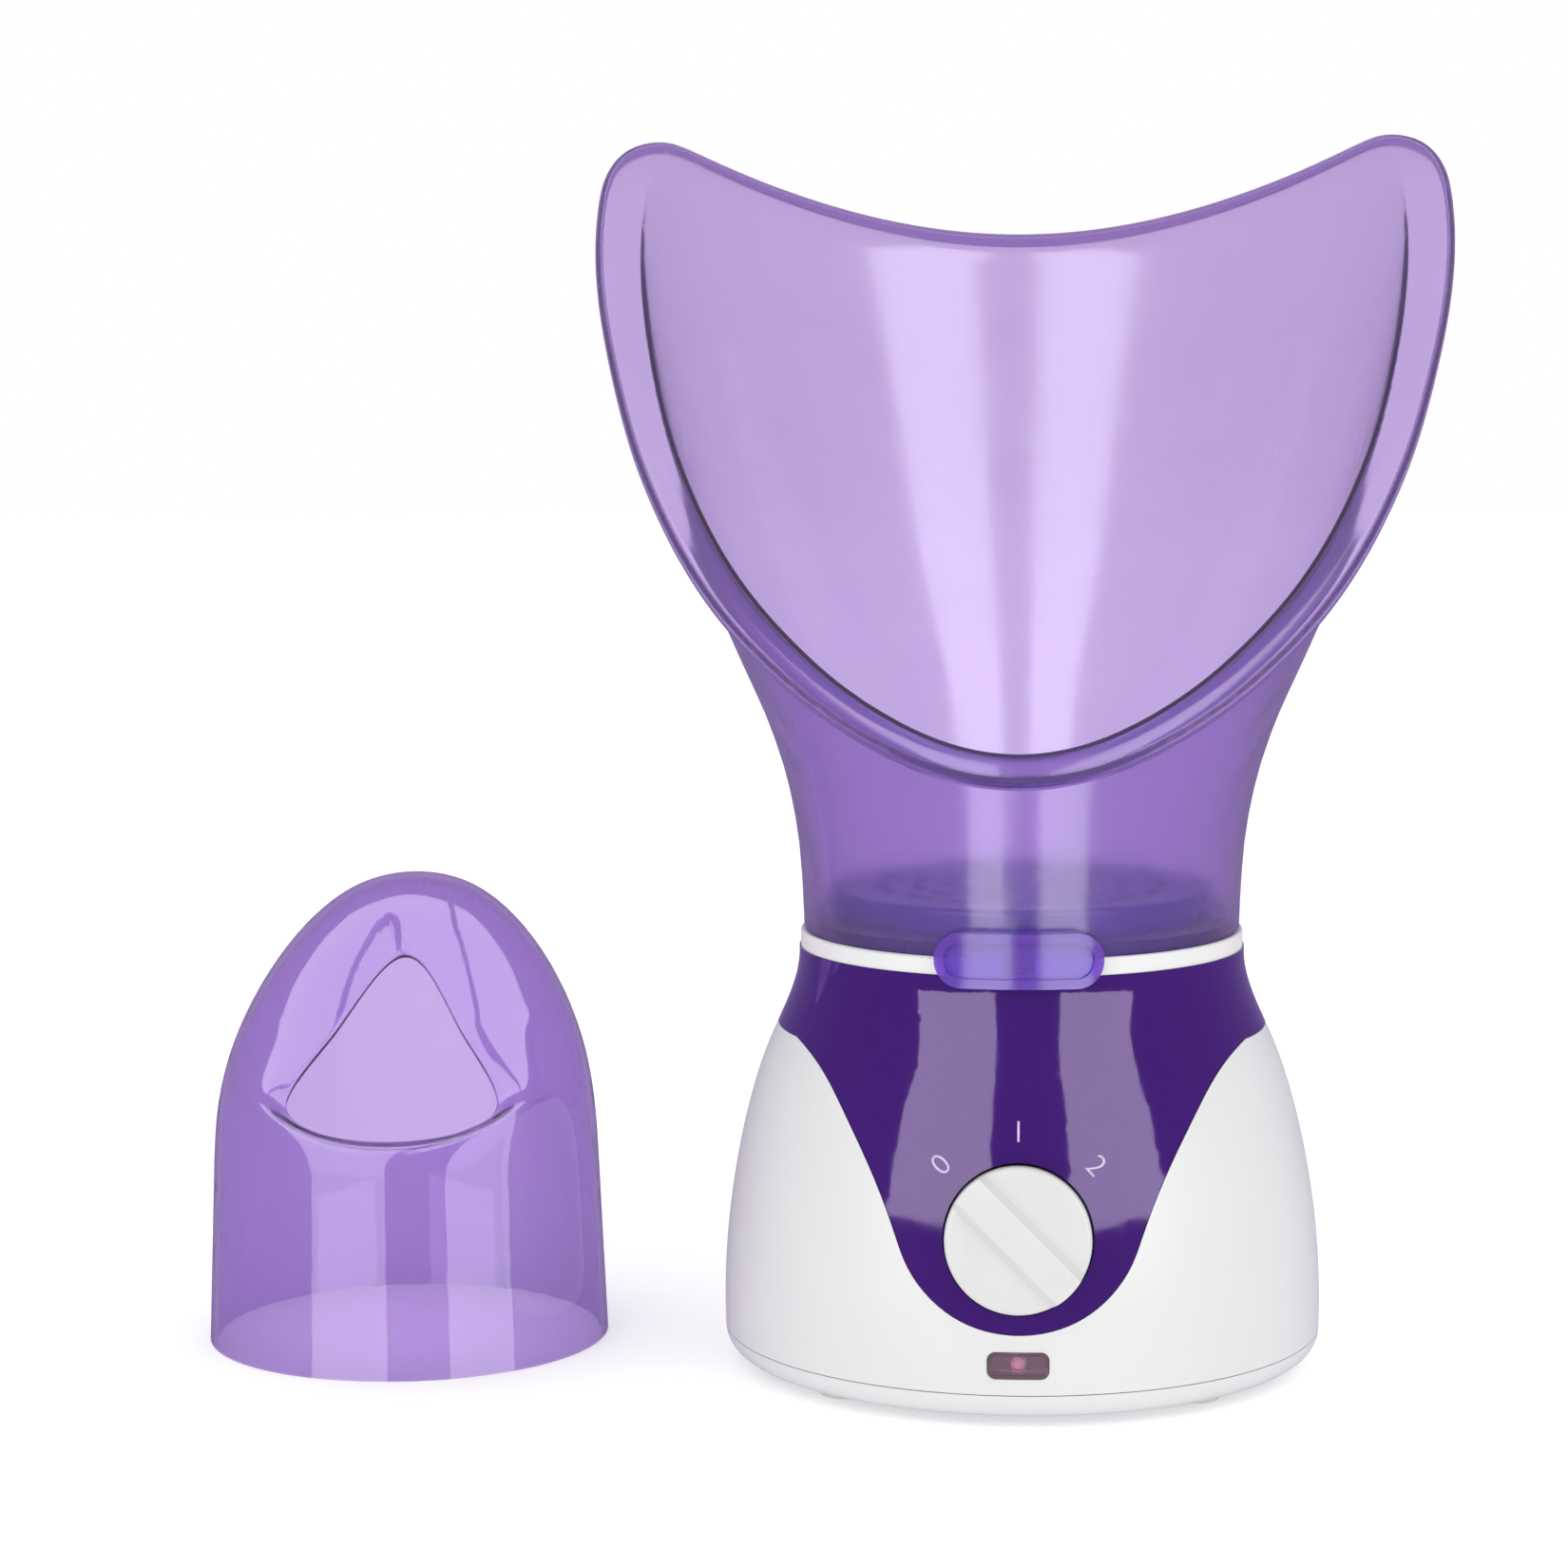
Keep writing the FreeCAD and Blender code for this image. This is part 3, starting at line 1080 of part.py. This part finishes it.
# ==== wiring =================================================================================
def wires():
    """Insulated leads between the terminals, held by what they are pushed on."""
    under = bowl_levels()[1]
    entry = BLOCK_Y - BLOCK_SIZE[1] / 2 + WIRE_IN_BLOCK
    clear = BLOCK_Y - 18
    back = switch_front() - SWITCH_DEPTH - TERMINAL[2]
    place = knob_frame()
    (live_x, live_y), (load_x, load_y) = TERMINALS_AT[:2]
    live, live_in = [place.multVec(V(live_x, live_y, z)) for z in (back, back - WIRE_STRAIGHT)]
    load, load_in = [place.multVec(V(load_x, load_y, z)) for z in (back, back - WIRE_STRAIGHT)]
    stat_z = under - THERMOSTAT_H - THERMOSTAT_TAB[2]
    heater_y, heater_z = PTC_SIZE[1] / 4, under - BLOCK_T / 2
    return {
        "live_lead": along([(-BLOCK_PITCH, entry, BLOCK_ENTRY_Z), (-BLOCK_PITCH, clear, BLOCK_ENTRY_Z),
                            (-14, 6, 22), (-12, -16, 30), tuple(live_in), tuple(live)], WIRE_R),
        "switched_lead": along([tuple(load), tuple(load_in), (16, -22, 52), (18, 0, 60), (10, 18, 62),
                                (THERMOSTAT_TAB_X, SENSOR_Y, stat_z - 9),
                                (THERMOSTAT_TAB_X, SENSOR_Y, stat_z)], WIRE_R),
        "neutral_lead": along([(BLOCK_PITCH, entry, BLOCK_ENTRY_Z), (BLOCK_PITCH, clear, BLOCK_ENTRY_Z),
                               (26, 8, 24), (42, 4, 46), (BLOCK_X + 18, heater_y, 68),
                               (BLOCK_X + 18, heater_y, heater_z),
                               (BLOCK_X + TAB_REACH, heater_y, heater_z)], WIRE_R),
    }


# ==== write the parts ========================================================================
PARTS = (bottom_cover, rubber_feet, cover_screws, housing, fascia, trim_ring, ring_screws, bowl_gasket,
         water_bowl, heater_block, ptc_element, heater_strap, strap_nuts, thermostat, thermostat_screws,
         thermal_fuse, fuse_clip, knob, switch_shaft, switch_body, switch_terminals, switch_screws,
         lamp_lens, lamp_holder, neon_lamp, cord_gland, cord_clamp, clamp_screws, terminal_block,
         splash_guard, face_hood, nose_mask)


def main():
    os.makedirs("parts", exist_ok=True)
    made = {make.__name__: make() for make in PARTS}
    made.update(wires())
    for name, shape in made.items():
        solids = shape if isinstance(shape, list) else [shape]
        whole = Part.makeCompound(solids)
        whole.exportStep("parts/" + name + ".step")
        flaws = [] if all(s.isValid() for s in solids) else ["not valid"]
        count = sum(len(s.Solids) for s in solids)
        print(name, count, "solids", round(sum(s.Volume for s in solids)), "mm3", *flaws)


main()
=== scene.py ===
import json
import math

import bpy
from mathutils import Matrix, Vector

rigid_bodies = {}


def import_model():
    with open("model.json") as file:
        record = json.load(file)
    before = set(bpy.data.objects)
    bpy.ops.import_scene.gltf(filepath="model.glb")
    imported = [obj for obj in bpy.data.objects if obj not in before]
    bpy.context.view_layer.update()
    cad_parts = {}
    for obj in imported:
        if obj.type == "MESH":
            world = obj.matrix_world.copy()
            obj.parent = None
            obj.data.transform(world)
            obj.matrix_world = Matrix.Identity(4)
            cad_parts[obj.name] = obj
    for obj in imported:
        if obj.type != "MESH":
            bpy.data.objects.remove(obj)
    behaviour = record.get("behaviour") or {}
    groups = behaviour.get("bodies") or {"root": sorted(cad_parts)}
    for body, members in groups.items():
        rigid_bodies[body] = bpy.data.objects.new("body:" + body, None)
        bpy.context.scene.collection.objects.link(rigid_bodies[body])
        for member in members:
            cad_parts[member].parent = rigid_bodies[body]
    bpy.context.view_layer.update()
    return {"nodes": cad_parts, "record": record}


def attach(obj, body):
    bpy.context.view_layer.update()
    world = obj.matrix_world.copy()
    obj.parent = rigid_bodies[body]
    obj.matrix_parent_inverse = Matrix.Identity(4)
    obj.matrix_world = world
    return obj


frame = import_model()

MM = 0.001
NODES = frame["nodes"]

# the lift tab is thick, so its resin looks cloudier and deeper: greatest y, least z and greatest z
TAB_ZONE = (-60.8 * MM, 116.5 * MM, 132.0 * MM)
TAB_CLEAR = 0.66
TAB_COLOUR = "#9464f2"
# per metre: each channel is absorbed by this times one minus what the colour below lets through
RESIN_DENSITY = 400
RESIN_PASSES = (0.6175, 0.535, 0.705, 1)


# ---- helpers -------------------------------------------------------------------------------------
def linear(code, alpha=1.0):
    """An sRGB hex value as the linear colour that a shader socket holds."""
    parts = [int(code[k:k + 2], 16) / 255 for k in (1, 3, 5)]
    return tuple(c / 12.92 if c <= 0.04045 else ((c + 0.055) / 1.055) ** 2.4 for c in parts) + (alpha,)


def add(mat, kind, links=None, **settings):
    """Adds a node with its settings, and links its inputs, by name or number, to other nodes' outputs."""
    node = mat.node_tree.nodes.new("ShaderNode" + kind)
    for name, value in settings.items():
        if name in node.inputs:
            node.inputs[name].default_value = value
        else:
            setattr(node, name, value)
    for name, output in (links or {}).items():
        mat.node_tree.links.new(output, node.inputs[name])
    return node


def start(name):
    """An empty node material, with its output and a coordinate in the piece's own space."""
    mat = bpy.data.materials.new(name)
    mat.use_nodes = True
    mat.node_tree.nodes.clear()
    return mat, add(mat, "OutputMaterial"), add(mat, "TexCoord").outputs["Object"]


def clear_selection():
    for obj in bpy.context.view_layer.objects:
        obj.select_set(False)
    bpy.context.view_layer.objects.active = None


def wear(mat, coord, size_mm, detail=3.0):
    """Soft noise whose patches are about size_mm across."""
    return add(mat, "TexNoise", {"Vector": coord}, Scale=1 / (size_mm * MM), Detail=detail, Roughness=0.55)


def span(mat, value, low, high):
    """Takes a noise's middle range to low..high."""
    return add(mat, "MapRange", {"Value": value}, **{"From Min": 0.3, "From Max": 0.7, "To Min": low,
                                                     "To Max": high}).outputs["Result"]


def tint(mat, factor, low, high):
    """Mixes two close colours by a noise."""
    mix = add(mat, "Mix", data_type="RGBA")
    mat.node_tree.links.new(factor, mix.inputs[0])
    mix.inputs[6].default_value, mix.inputs[7].default_value = linear(low), linear(high)
    return mix.outputs[2]


# ---- materials -----------------------------------------------------------------------------------
def white_abs():
    """Injection-moulded ABS, spark-eroded to a soft sheen: even white, faint grain, slightly uneven gloss."""
    mat, out, coord = start("moulded_white_abs")
    clouds = wear(mat, coord, 30)
    grain = wear(mat, coord, 0.35, 2.0)
    bump = add(mat, "Bump", {"Height": grain.outputs["Fac"]}, Strength=0.05, Distance=0.05 * MM)
    bsdf = add(mat, "BsdfPrincipled", {
        "Base Color": tint(mat, clouds.outputs["Fac"], "#dcdcdb", "#e0e0df"),
        "Roughness": span(mat, clouds.outputs["Fac"], 0.30, 0.38),
        "Normal": bump.outputs["Normal"]}, IOR=1.52)
    mat.node_tree.links.new(bsdf.outputs["BSDF"], out.inputs["Surface"])
    return mat


def ring_abs():
    """The same ABS from a plainer mould: greyer and more matt, with rings left by turning the tool."""
    mat, out, coord = start("satin_ring_abs")
    clouds = wear(mat, coord, 12)
    lines = add(mat, "TexWave", {"Vector": coord}, wave_type="BANDS", bands_direction="Z", Distortion=0.4,
                Scale=1 / (1.2 * MM) / 20)
    bump = add(mat, "Bump", {"Height": lines.outputs["Fac"]}, Strength=0.04, Distance=0.04 * MM)
    bsdf = add(mat, "BsdfPrincipled", {
        "Base Color": tint(mat, clouds.outputs["Fac"], "#e3e3e1", "#e9e9e7"),
        "Roughness": span(mat, clouds.outputs["Fac"], 0.36, 0.46),
        "Normal": bump.outputs["Normal"]}, IOR=1.52)
    mat.node_tree.links.new(bsdf.outputs["BSDF"], out.inputs["Surface"])
    return mat


def dial_abs():
    """Fine satin ABS of the dial, a shade warmer where fingers polish it."""
    mat, out, coord = start("satin_dial_abs")
    clouds = wear(mat, coord, 9)
    grain = wear(mat, coord, 0.3, 2.0)
    bump = add(mat, "Bump", {"Height": grain.outputs["Fac"]}, Strength=0.06, Distance=0.04 * MM)
    bsdf = add(mat, "BsdfPrincipled", {
        "Base Color": tint(mat, clouds.outputs["Fac"], "#d3d3d1", "#dadad8"),
        "Roughness": span(mat, clouds.outputs["Fac"], 0.34, 0.44),
        "Normal": bump.outputs["Normal"]}, IOR=1.52)
    mat.node_tree.links.new(bsdf.outputs["BSDF"], out.inputs["Surface"])
    return mat


def polished_purple():
    """Dark purple ABS from a mirror-polished mould: deep colour under a hard gloss."""
    mat, out, coord = start("polished_dark_purple_abs")
    clouds = wear(mat, coord, 18)
    haze = wear(mat, coord, 4)
    bsdf = add(mat, "BsdfPrincipled", {
        "Base Color": tint(mat, clouds.outputs["Fac"], "#340c66", "#3a1069"),
        "Roughness": span(mat, haze.outputs["Fac"], 0.05, 0.08)}, IOR=1.58)
    mat.node_tree.links.new(bsdf.outputs["BSDF"], out.inputs["Surface"])
    return mat


def clear_purple(name, clear, body, rough, tab=None):
    """See-through purple polycarbonate: a slightly cloudy resin whose colour deepens with thickness.
    tab is the zone, as (greatest y, least z, greatest z), where the moulding is thick and cloudier."""
    mat, out, coord = start(name)
    haze = wear(mat, coord, 25)
    flow = wear(mat, coord, 18, 2.0)
    bump = add(mat, "Bump", {"Height": flow.outputs["Fac"]}, Strength=0.03, Distance=0.1 * MM)
    links = {"Roughness": span(mat, haze.outputs["Fac"], rough * 0.8, rough * 1.2),
             "Normal": bump.outputs["Normal"]}
    colour = tint(mat, haze.outputs["Fac"], *body)
    if tab:
        place = add(mat, "SeparateXYZ", {"Vector": coord})
        front = add(mat, "Math", {"Value": place.outputs["Y"]}, operation="LESS_THAN")
        front.inputs[1].default_value = tab[0]
        above = add(mat, "Math", {"Value": place.outputs["Z"]}, operation="GREATER_THAN")
        above.inputs[1].default_value = tab[1]
        below = add(mat, "Math", {"Value": place.outputs["Z"]}, operation="LESS_THAN")
        below.inputs[1].default_value = tab[2]
        both = add(mat, "Math", {0: front.outputs[0], 1: above.outputs[0]}, operation="MULTIPLY")
        zone = add(mat, "Math", {0: both.outputs[0], 1: below.outputs[0]}, operation="MULTIPLY")
        links["Transmission Weight"] = add(mat, "MapRange", {"Value": zone.outputs[0]}, **{
            "To Min": clear, "To Max": TAB_CLEAR}).outputs["Result"]
        deep = add(mat, "Mix", {0: zone.outputs[0], 6: colour}, data_type="RGBA")
        deep.inputs[7].default_value = linear(TAB_COLOUR)
        colour = deep.outputs[2]
    links["Base Color"] = colour
    bsdf = add(mat, "BsdfPrincipled", links, IOR=1.55)
    if not tab:
        bsdf.inputs["Transmission Weight"].default_value = clear
    volume = add(mat, "VolumeAbsorption", Density=RESIN_DENSITY)
    volume.inputs["Color"].default_value = RESIN_PASSES
    mat.node_tree.links.new(bsdf.outputs["BSDF"], out.inputs["Surface"])
    mat.node_tree.links.new(volume.outputs["Volume"], out.inputs["Volume"])
    return mat


def frosted_purple():
    """The steam guard's resin: the same purple, thick and satin, so that it glows more than it shows."""
    mat, out, coord = start("satin_purple_polycarbonate")
    haze = wear(mat, coord, 15)
    fine = wear(mat, coord, 0.8, 2.0)
    bump = add(mat, "Bump", {"Height": fine.outputs["Fac"]}, Strength=0.15, Distance=0.05 * MM)
    bsdf = add(mat, "BsdfPrincipled", {
        "Base Color": tint(mat, haze.outputs["Fac"], "#7048dd", "#7a52e3"),
        "Roughness": span(mat, haze.outputs["Fac"], 0.2, 0.3),
        "Normal": bump.outputs["Normal"]}, IOR=1.55)
    bsdf.inputs["Transmission Weight"].default_value = 0.42
    mat.node_tree.links.new(bsdf.outputs["BSDF"], out.inputs["Surface"])
    return mat


def plain(name, low, high, rough, metallic=0.0, patch_mm=6.0, grain_mm=0.4, grain=0.08, ior=1.5):
    """A moulded, cast or plated finish with its own grain, patches of colour and uneven gloss."""
    mat, out, coord = start(name)
    clouds = wear(mat, coord, patch_mm)
    fine = wear(mat, coord, grain_mm, 2.0)
    bump = add(mat, "Bump", {"Height": fine.outputs["Fac"]}, Strength=grain, Distance=0.05 * MM)
    links = {"Base Color": tint(mat, clouds.outputs["Fac"], low, high),
             "Roughness": span(mat, clouds.outputs["Fac"], rough * 0.85, rough * 1.15),
             "Normal": bump.outputs["Normal"]}
    bsdf = add(mat, "BsdfPrincipled", links, Metallic=metallic, IOR=ior)
    mat.node_tree.links.new(bsdf.outputs["BSDF"], out.inputs["Surface"])
    return mat


def lens_pink():
    """Tinted acrylic of the lamp's window, faintly frosted."""
    mat, out, coord = start("frosted_pink_acrylic")
    haze = wear(mat, coord, 2)
    rough = span(mat, haze.outputs["Fac"], 0.03, 0.07)
    bsdf = add(mat, "BsdfPrincipled", {"Roughness": rough}, IOR=1.49)
    bsdf.inputs["Base Color"].default_value = linear("#f3d3e4")
    bsdf.inputs["Transmission Weight"].default_value = 0.93
    mat.node_tree.links.new(bsdf.outputs["BSDF"], out.inputs["Surface"])
    return mat


def dress():
    """Gives every CAD node its finish."""
    resin = ("#dcc5f6", "#e0caf8")
    hood = clear_purple("clear_purple_polycarbonate_of_the_hood", 0.94, resin, 0.15, TAB_ZONE)
    mask = clear_purple("clear_purple_polycarbonate_of_the_mask", 0.94, resin, 0.02)
    white = white_abs()
    steel = plain("zinc_plated_steel", "#b5b8bd", "#c9ccd0", 0.32, 1.0, 3, 0.2, 0.1)
    black = plain("black_phenolic", "#141414", "#1b1b1b", 0.5)
    nylon = plain("natural_nylon", "#dcd9cf", "#e4e2da", 0.45)
    aluminium = plain("pressed_aluminium", "#c8c9cb", "#d8d9da", 0.28, 1.0, 8, 0.5, 0.1)
    finishes = {
        "housing": white, "bottom_cover": white, "trim_ring": ring_abs(), "knob": dial_abs(),
        "fascia": polished_purple(), "face_hood": hood, "nose_mask": mask, "splash_guard": frosted_purple(),
        "rubber_feet": plain("white_rubber", "#d6d6d3", "#deded9", 0.6, grain=0.2),
        "water_bowl": aluminium, "heater_block": aluminium, "thermal_fuse": aluminium,
        "bowl_gasket": plain("red_silicone", "#b4573c", "#bf6045", 0.55),
        "ptc_element": plain("sintered_ceramic", "#6a655f", "#78736c", 0.7, grain=0.3),
        "switch_terminals": plain("stamped_brass", "#c9a55a", "#d8b76c", 0.3, 1.0),
        "lamp_lens": lens_pink(),
        "neon_lamp": plain("lamp_glass_with_electrodes", "#efc6d4", "#f6d6e0", 0.15),
        "lamp_holder": plain("dark_plum_moulding", "#3c2238", "#472a42", 0.4),
        "live_lead": plain("brown_silicone_sleeve", "#5a3018", "#66381e", 0.55),
        "neutral_lead": plain("blue_silicone_sleeve", "#1f4f9a", "#265aa8", 0.55),
        "switched_lead": black, "thermostat": black, "switch_shaft": black, "switch_body": black,
        "cord_gland": nylon, "cord_clamp": nylon, "terminal_block": nylon}
    for name, obj in NODES.items():
        mat = finishes.get(name, steel)
        if not obj.data.materials:
            obj.data.materials.append(mat)
        for k in range(len(obj.data.materials)):
            obj.data.materials[k] = mat


# ---- numerals round the dial ---------------------------------------------------------------------
DIAL = next(joint for joint in frame["record"]["behaviour"]["joints"] if joint["name"] == "dial_turn")
NUMERAL_RADIUS = 28.4 * MM
NUMERAL_HEIGHT = 6.1 * MM
NUMERAL_PROUD = 0.10 * MM
NUMERAL_THINNED = -0.10 * MM             # the stock font's strokes are heavier than the print
SIZE_PER_DIGIT = 1.38                    # the font's size over the height of its digits
NUMERAL_STEPS = 6                        # straight runs in each curve of an outline
NUMERAL_START = 6 * MM                   # digits are projected onto the fascia from this far out
NUMERALS = (("0", -46.5), ("1", 0.0), ("2", 46.5))   # degrees clockwise from straight up


def lilac_ink():
    """Pad-printed ink: flat lilac, with slightly uneven cover at its edges."""
    mat, out, coord = start("pad_printed_lilac_ink")
    cover = wear(mat, coord, 0.4)
    bsdf = add(mat, "BsdfPrincipled", {
        "Base Color": tint(mat, cover.outputs["Fac"], "#d9bfe6", "#e6d0ef"),
        "Roughness": span(mat, cover.outputs["Fac"], 0.35, 0.5)}, IOR=1.5)
    mat.node_tree.links.new(bsdf.outputs["BSDF"], out.inputs["Surface"])
    return mat


def apply_all(obj):
    """Applies every modifier, in order."""
    clear_selection()
    obj.select_set(True)
    bpy.context.view_layer.objects.active = obj
    for mod in list(obj.modifiers):
        bpy.ops.object.modifier_apply(modifier=mod.name)


def numeral(mark, angle, ink):
    """A digit standing radially round the dial, laid on the fascia along the dial's axis."""
    out_of_face = -Vector(DIAL["axis"]).normalized()
    right = Vector((1, 0, 0))
    up = out_of_face.cross(right)
    turn = Matrix.Rotation(math.radians(-angle), 3, out_of_face)
    axes = Matrix((turn @ right, turn @ up, out_of_face)).transposed().to_4x4()
    foot = Vector(DIAL["pos_m"]) + turn @ up * NUMERAL_RADIUS + out_of_face * NUMERAL_START
    clear_selection()
    bpy.ops.object.text_add()
    text = bpy.context.object
    text.data.body = mark
    text.data.align_x, text.data.align_y = "CENTER", "CENTER"
    text.data.resolution_u = NUMERAL_STEPS
    text.data.size = NUMERAL_HEIGHT * SIZE_PER_DIGIT
    text.data.offset = NUMERAL_THINNED
    bpy.ops.object.convert(target="MESH")
    digit = bpy.context.object
    digit.name = "numeral_" + mark
    digit.matrix_world = Matrix.Translation(foot) @ axes
    wrap = digit.modifiers.new("onto_fascia", "SHRINKWRAP")
    wrap.wrap_method, wrap.target = "PROJECT", NODES["fascia"]
    wrap.use_project_z, wrap.use_negative_direction, wrap.use_positive_direction = True, True, False
    wrap.offset = 0.0
    apply_all(digit)
    bpy.ops.object.transform_apply(location=True, rotation=True, scale=True)
    thick = digit.modifiers.new("ink", "SOLIDIFY")
    thick.thickness, thick.offset = NUMERAL_PROUD, 1
    apply_all(digit)
    digit.data.materials.clear()
    digit.data.materials.append(ink)
    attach(digit, "base")
    return digit


# ---- stage, lights and camera --------------------------------------------------------------------
FACE_AT = Vector((0, -0.08, 0.07))       # the point that the softboxes' edges are measured from
SOFTBOX_AWAY = 1.5
SOFTBOX_TOP = 2.15
WIDE_PAIR = ((-54.0, -12.5), (21.0, 60.0))
NARROW_PAIR = ((-27.0, -4.0), (10.0, 36.0))
MASK_PAIR = ((-54.0, -10.0), (27.6, 71.0))
WHITE = (1, 1, 1)
LILAC = (0.95, 0.76, 1.0)
# the softboxes that each piece mirrors: their edges in degrees round from straight ahead, the heights
# of their lower and upper edges, their radiance and their colour
MIRRORED = {
    "fascia": (WIDE_PAIR, 0.20, SOFTBOX_TOP, 4.0, LILAC),
    "body": (WIDE_PAIR, 0.0, SOFTBOX_TOP, 2.4, WHITE),
    "hood": (NARROW_PAIR, -1.0, SOFTBOX_TOP, 4.0, WHITE),
    "mask": (MASK_PAIR, -0.6, SOFTBOX_TOP, 2.7, WHITE)}
KEY_SOFTBOXES = WIDE_PAIR
KEY_TALL = SOFTBOX_TOP
KEY_RADIANCE = 0.58
# panels over the mask that its dome mirrors: least and greatest x, y, and the height
CEILING = (((-1.4, -0.26), (-1.1, 0.4)), ((-0.17, 0.9), (-1.1, 0.4)))
CEILING_Z = 1.6
CEILING_RADIANCE = 3.0
ROOM_DIFFUSE = 0.97
ROOM_SEEN = 1.0
ROOM_REFLECTED = 0.44
ROOM_REFLECTED_COLOUR = (0.60, 0.42, 0.95, 1)


def receivers():
    """The pieces that each set of softboxes lights by gloss, as light-linking collections."""
    own = {"fascia": "fascia", "face_hood": "hood", "nose_mask": "mask"}
    groups = {name: bpy.data.collections.new("lit_" + name) for name in MIRRORED}
    for name, obj in NODES.items():
        groups[own.get(name, "body")].objects.link(obj)
    return groups


def card(name, size, at, look, radiance, colour=WHITE, lit=None):
    """An evenly bright softbox: one for the reflections of some pieces, or one for diffuse light on all."""
    light = bpy.data.lights.new(name, "AREA")
    light.shape = "RECTANGLE"
    light.size, light.size_y = size
    light.energy = radiance * math.pi * size[0] * size[1]
    light.color = colour
    obj = bpy.data.objects.new(name, light)
    bpy.context.scene.collection.objects.link(obj)
    obj.location = at
    obj.rotation_euler = (Vector(look) - Vector(at)).to_track_quat("-Z", "Y").to_euler()
    obj.visible_camera = False
    obj.visible_glossy = obj.visible_transmission = bool(lit)
    obj.visible_diffuse = not lit
    if lit:
        obj.light_linking.receiver_collection = lit
        obj.light_linking.blocker_collection = lit


def upright(name, edges, low, high, radiance, colour=WHITE, lit=None):
    """A softbox that stands between two directions and two heights."""
    middle, half = math.radians(sum(edges) / 2), math.radians((edges[1] - edges[0]) / 2)
    at = FACE_AT + Vector((math.sin(middle), -math.cos(middle), 0)) * SOFTBOX_AWAY
    at.z = (low + high) / 2
    size = (2 * SOFTBOX_AWAY * math.tan(half), high - low)
    card(name, size, at, Vector((FACE_AT.x, FACE_AT.y, at.z)), radiance, colour, lit)


def softboxes():
    groups = receivers()
    for name, (boxes, low, high, radiance, colour) in MIRRORED.items():
        for k, edges in enumerate(boxes):
            upright("softbox_%s_%d" % (name, k), edges, low, high, radiance, colour, groups[name])
    for k, edges in enumerate(KEY_SOFTBOXES):
        upright("key_%d" % k, edges, 0, KEY_TALL, KEY_RADIANCE)
    for k, ((x0, x1), (y0, y1)) in enumerate(CEILING):
        at = Vector(((x0 + x1) / 2, (y0 + y1) / 2, CEILING_Z))
        size, below = (x1 - x0, y1 - y0), at - Vector((0, 0, 1))
        card("ceiling_%d" % k, size, at, below, CEILING_RADIANCE, WHITE, groups["mask"])


def white_room():
    """White all round for soft light and for what shows through the plastic, but dim in reflections."""
    world = bpy.data.worlds.new("white_room")
    bpy.context.scene.world = world
    world.use_nodes = True
    path = add(world, "LightPath")
    seen = add(world, "Math", {0: path.outputs["Is Camera Ray"], 1: path.outputs["Is Transmission Ray"]},
               operation="MAXIMUM")
    # a refracted ray counts as glossy too, so a mirrored one is glossy and not transmitted
    mirrored = add(world, "Math", {0: path.outputs["Is Glossy Ray"], 1: path.outputs["Is Transmission Ray"]},
                   operation="GREATER_THAN")
    bright = add(world, "Mix", {0: seen.outputs[0]}, data_type="FLOAT")
    bright.inputs[2].default_value, bright.inputs[3].default_value = ROOM_DIFFUSE, ROOM_SEEN
    dim = add(world, "Mix", {0: mirrored.outputs[0], 2: bright.outputs[0]}, data_type="FLOAT")
    dim.inputs[3].default_value = ROOM_REFLECTED
    background = world.node_tree.nodes["Background"]
    hue = add(world, "Mix", {0: mirrored.outputs[0]}, data_type="RGBA")
    hue.inputs[6].default_value, hue.inputs[7].default_value = (1, 1, 1, 1), ROOM_REFLECTED_COLOUR
    world.node_tree.links.new(hue.outputs[2], background.inputs["Color"])
    world.node_tree.links.new(dim.outputs[0], background.inputs["Strength"])


FLOOR_SIZE = 12
FLOOR_GLOW = 0.3                         # lifts the floor to plain white round the shadows


def floor():
    clear_selection()
    bpy.ops.mesh.primitive_plane_add(size=FLOOR_SIZE)
    plane = bpy.context.object
    plane.name = "floor"
    mat, out, coord = start("matt_white_card")
    patches = wear(mat, coord, 60)
    bsdf = add(mat, "BsdfPrincipled", {
        "Base Color": tint(mat, patches.outputs["Fac"], "#f2f2f2", "#f4f4f4")}, Roughness=0.9)
    bsdf.inputs["Emission Color"].default_value = (1, 1, 1, 1)
    bsdf.inputs["Emission Strength"].default_value = FLOOR_GLOW
    mat.node_tree.links.new(bsdf.outputs["BSDF"], out.inputs["Surface"])
    plane.data.materials.append(mat)
    plane.visible_glossy = False


CAMERA_AT = Vector((9.64, -1089.5, 286.4)) * MM
CAMERA_YAW, CAMERA_PITCH, CAMERA_ROLL = 0.0708, 0.1108, -0.0067     # radians
CAMERA_LENS, CAMERA_SENSOR = 88.26, 36


def camera():
    cam = bpy.data.objects.new("camera", bpy.data.cameras.new("camera"))
    bpy.context.scene.collection.objects.link(cam)
    cam.data.sensor_width = CAMERA_SENSOR
    cam.data.lens = CAMERA_LENS
    cam.data.clip_start, cam.data.clip_end = 0.05, 50
    tilt = Matrix.Rotation(math.pi / 2 - CAMERA_PITCH, 3, "X")
    turn = Matrix.Rotation(CAMERA_YAW, 3, "Z") @ tilt @ Matrix.Rotation(CAMERA_ROLL, 3, "Z")
    cam.location = CAMERA_AT
    cam.rotation_euler = turn.to_euler()
    bpy.context.scene.camera = cam
    bpy.context.scene.view_settings.view_transform = "Standard"


dress()
ink = lilac_ink()
for mark, angle in NUMERALS:
    numeral(mark, angle, ink)
softboxes()
white_room()
floor()
camera()
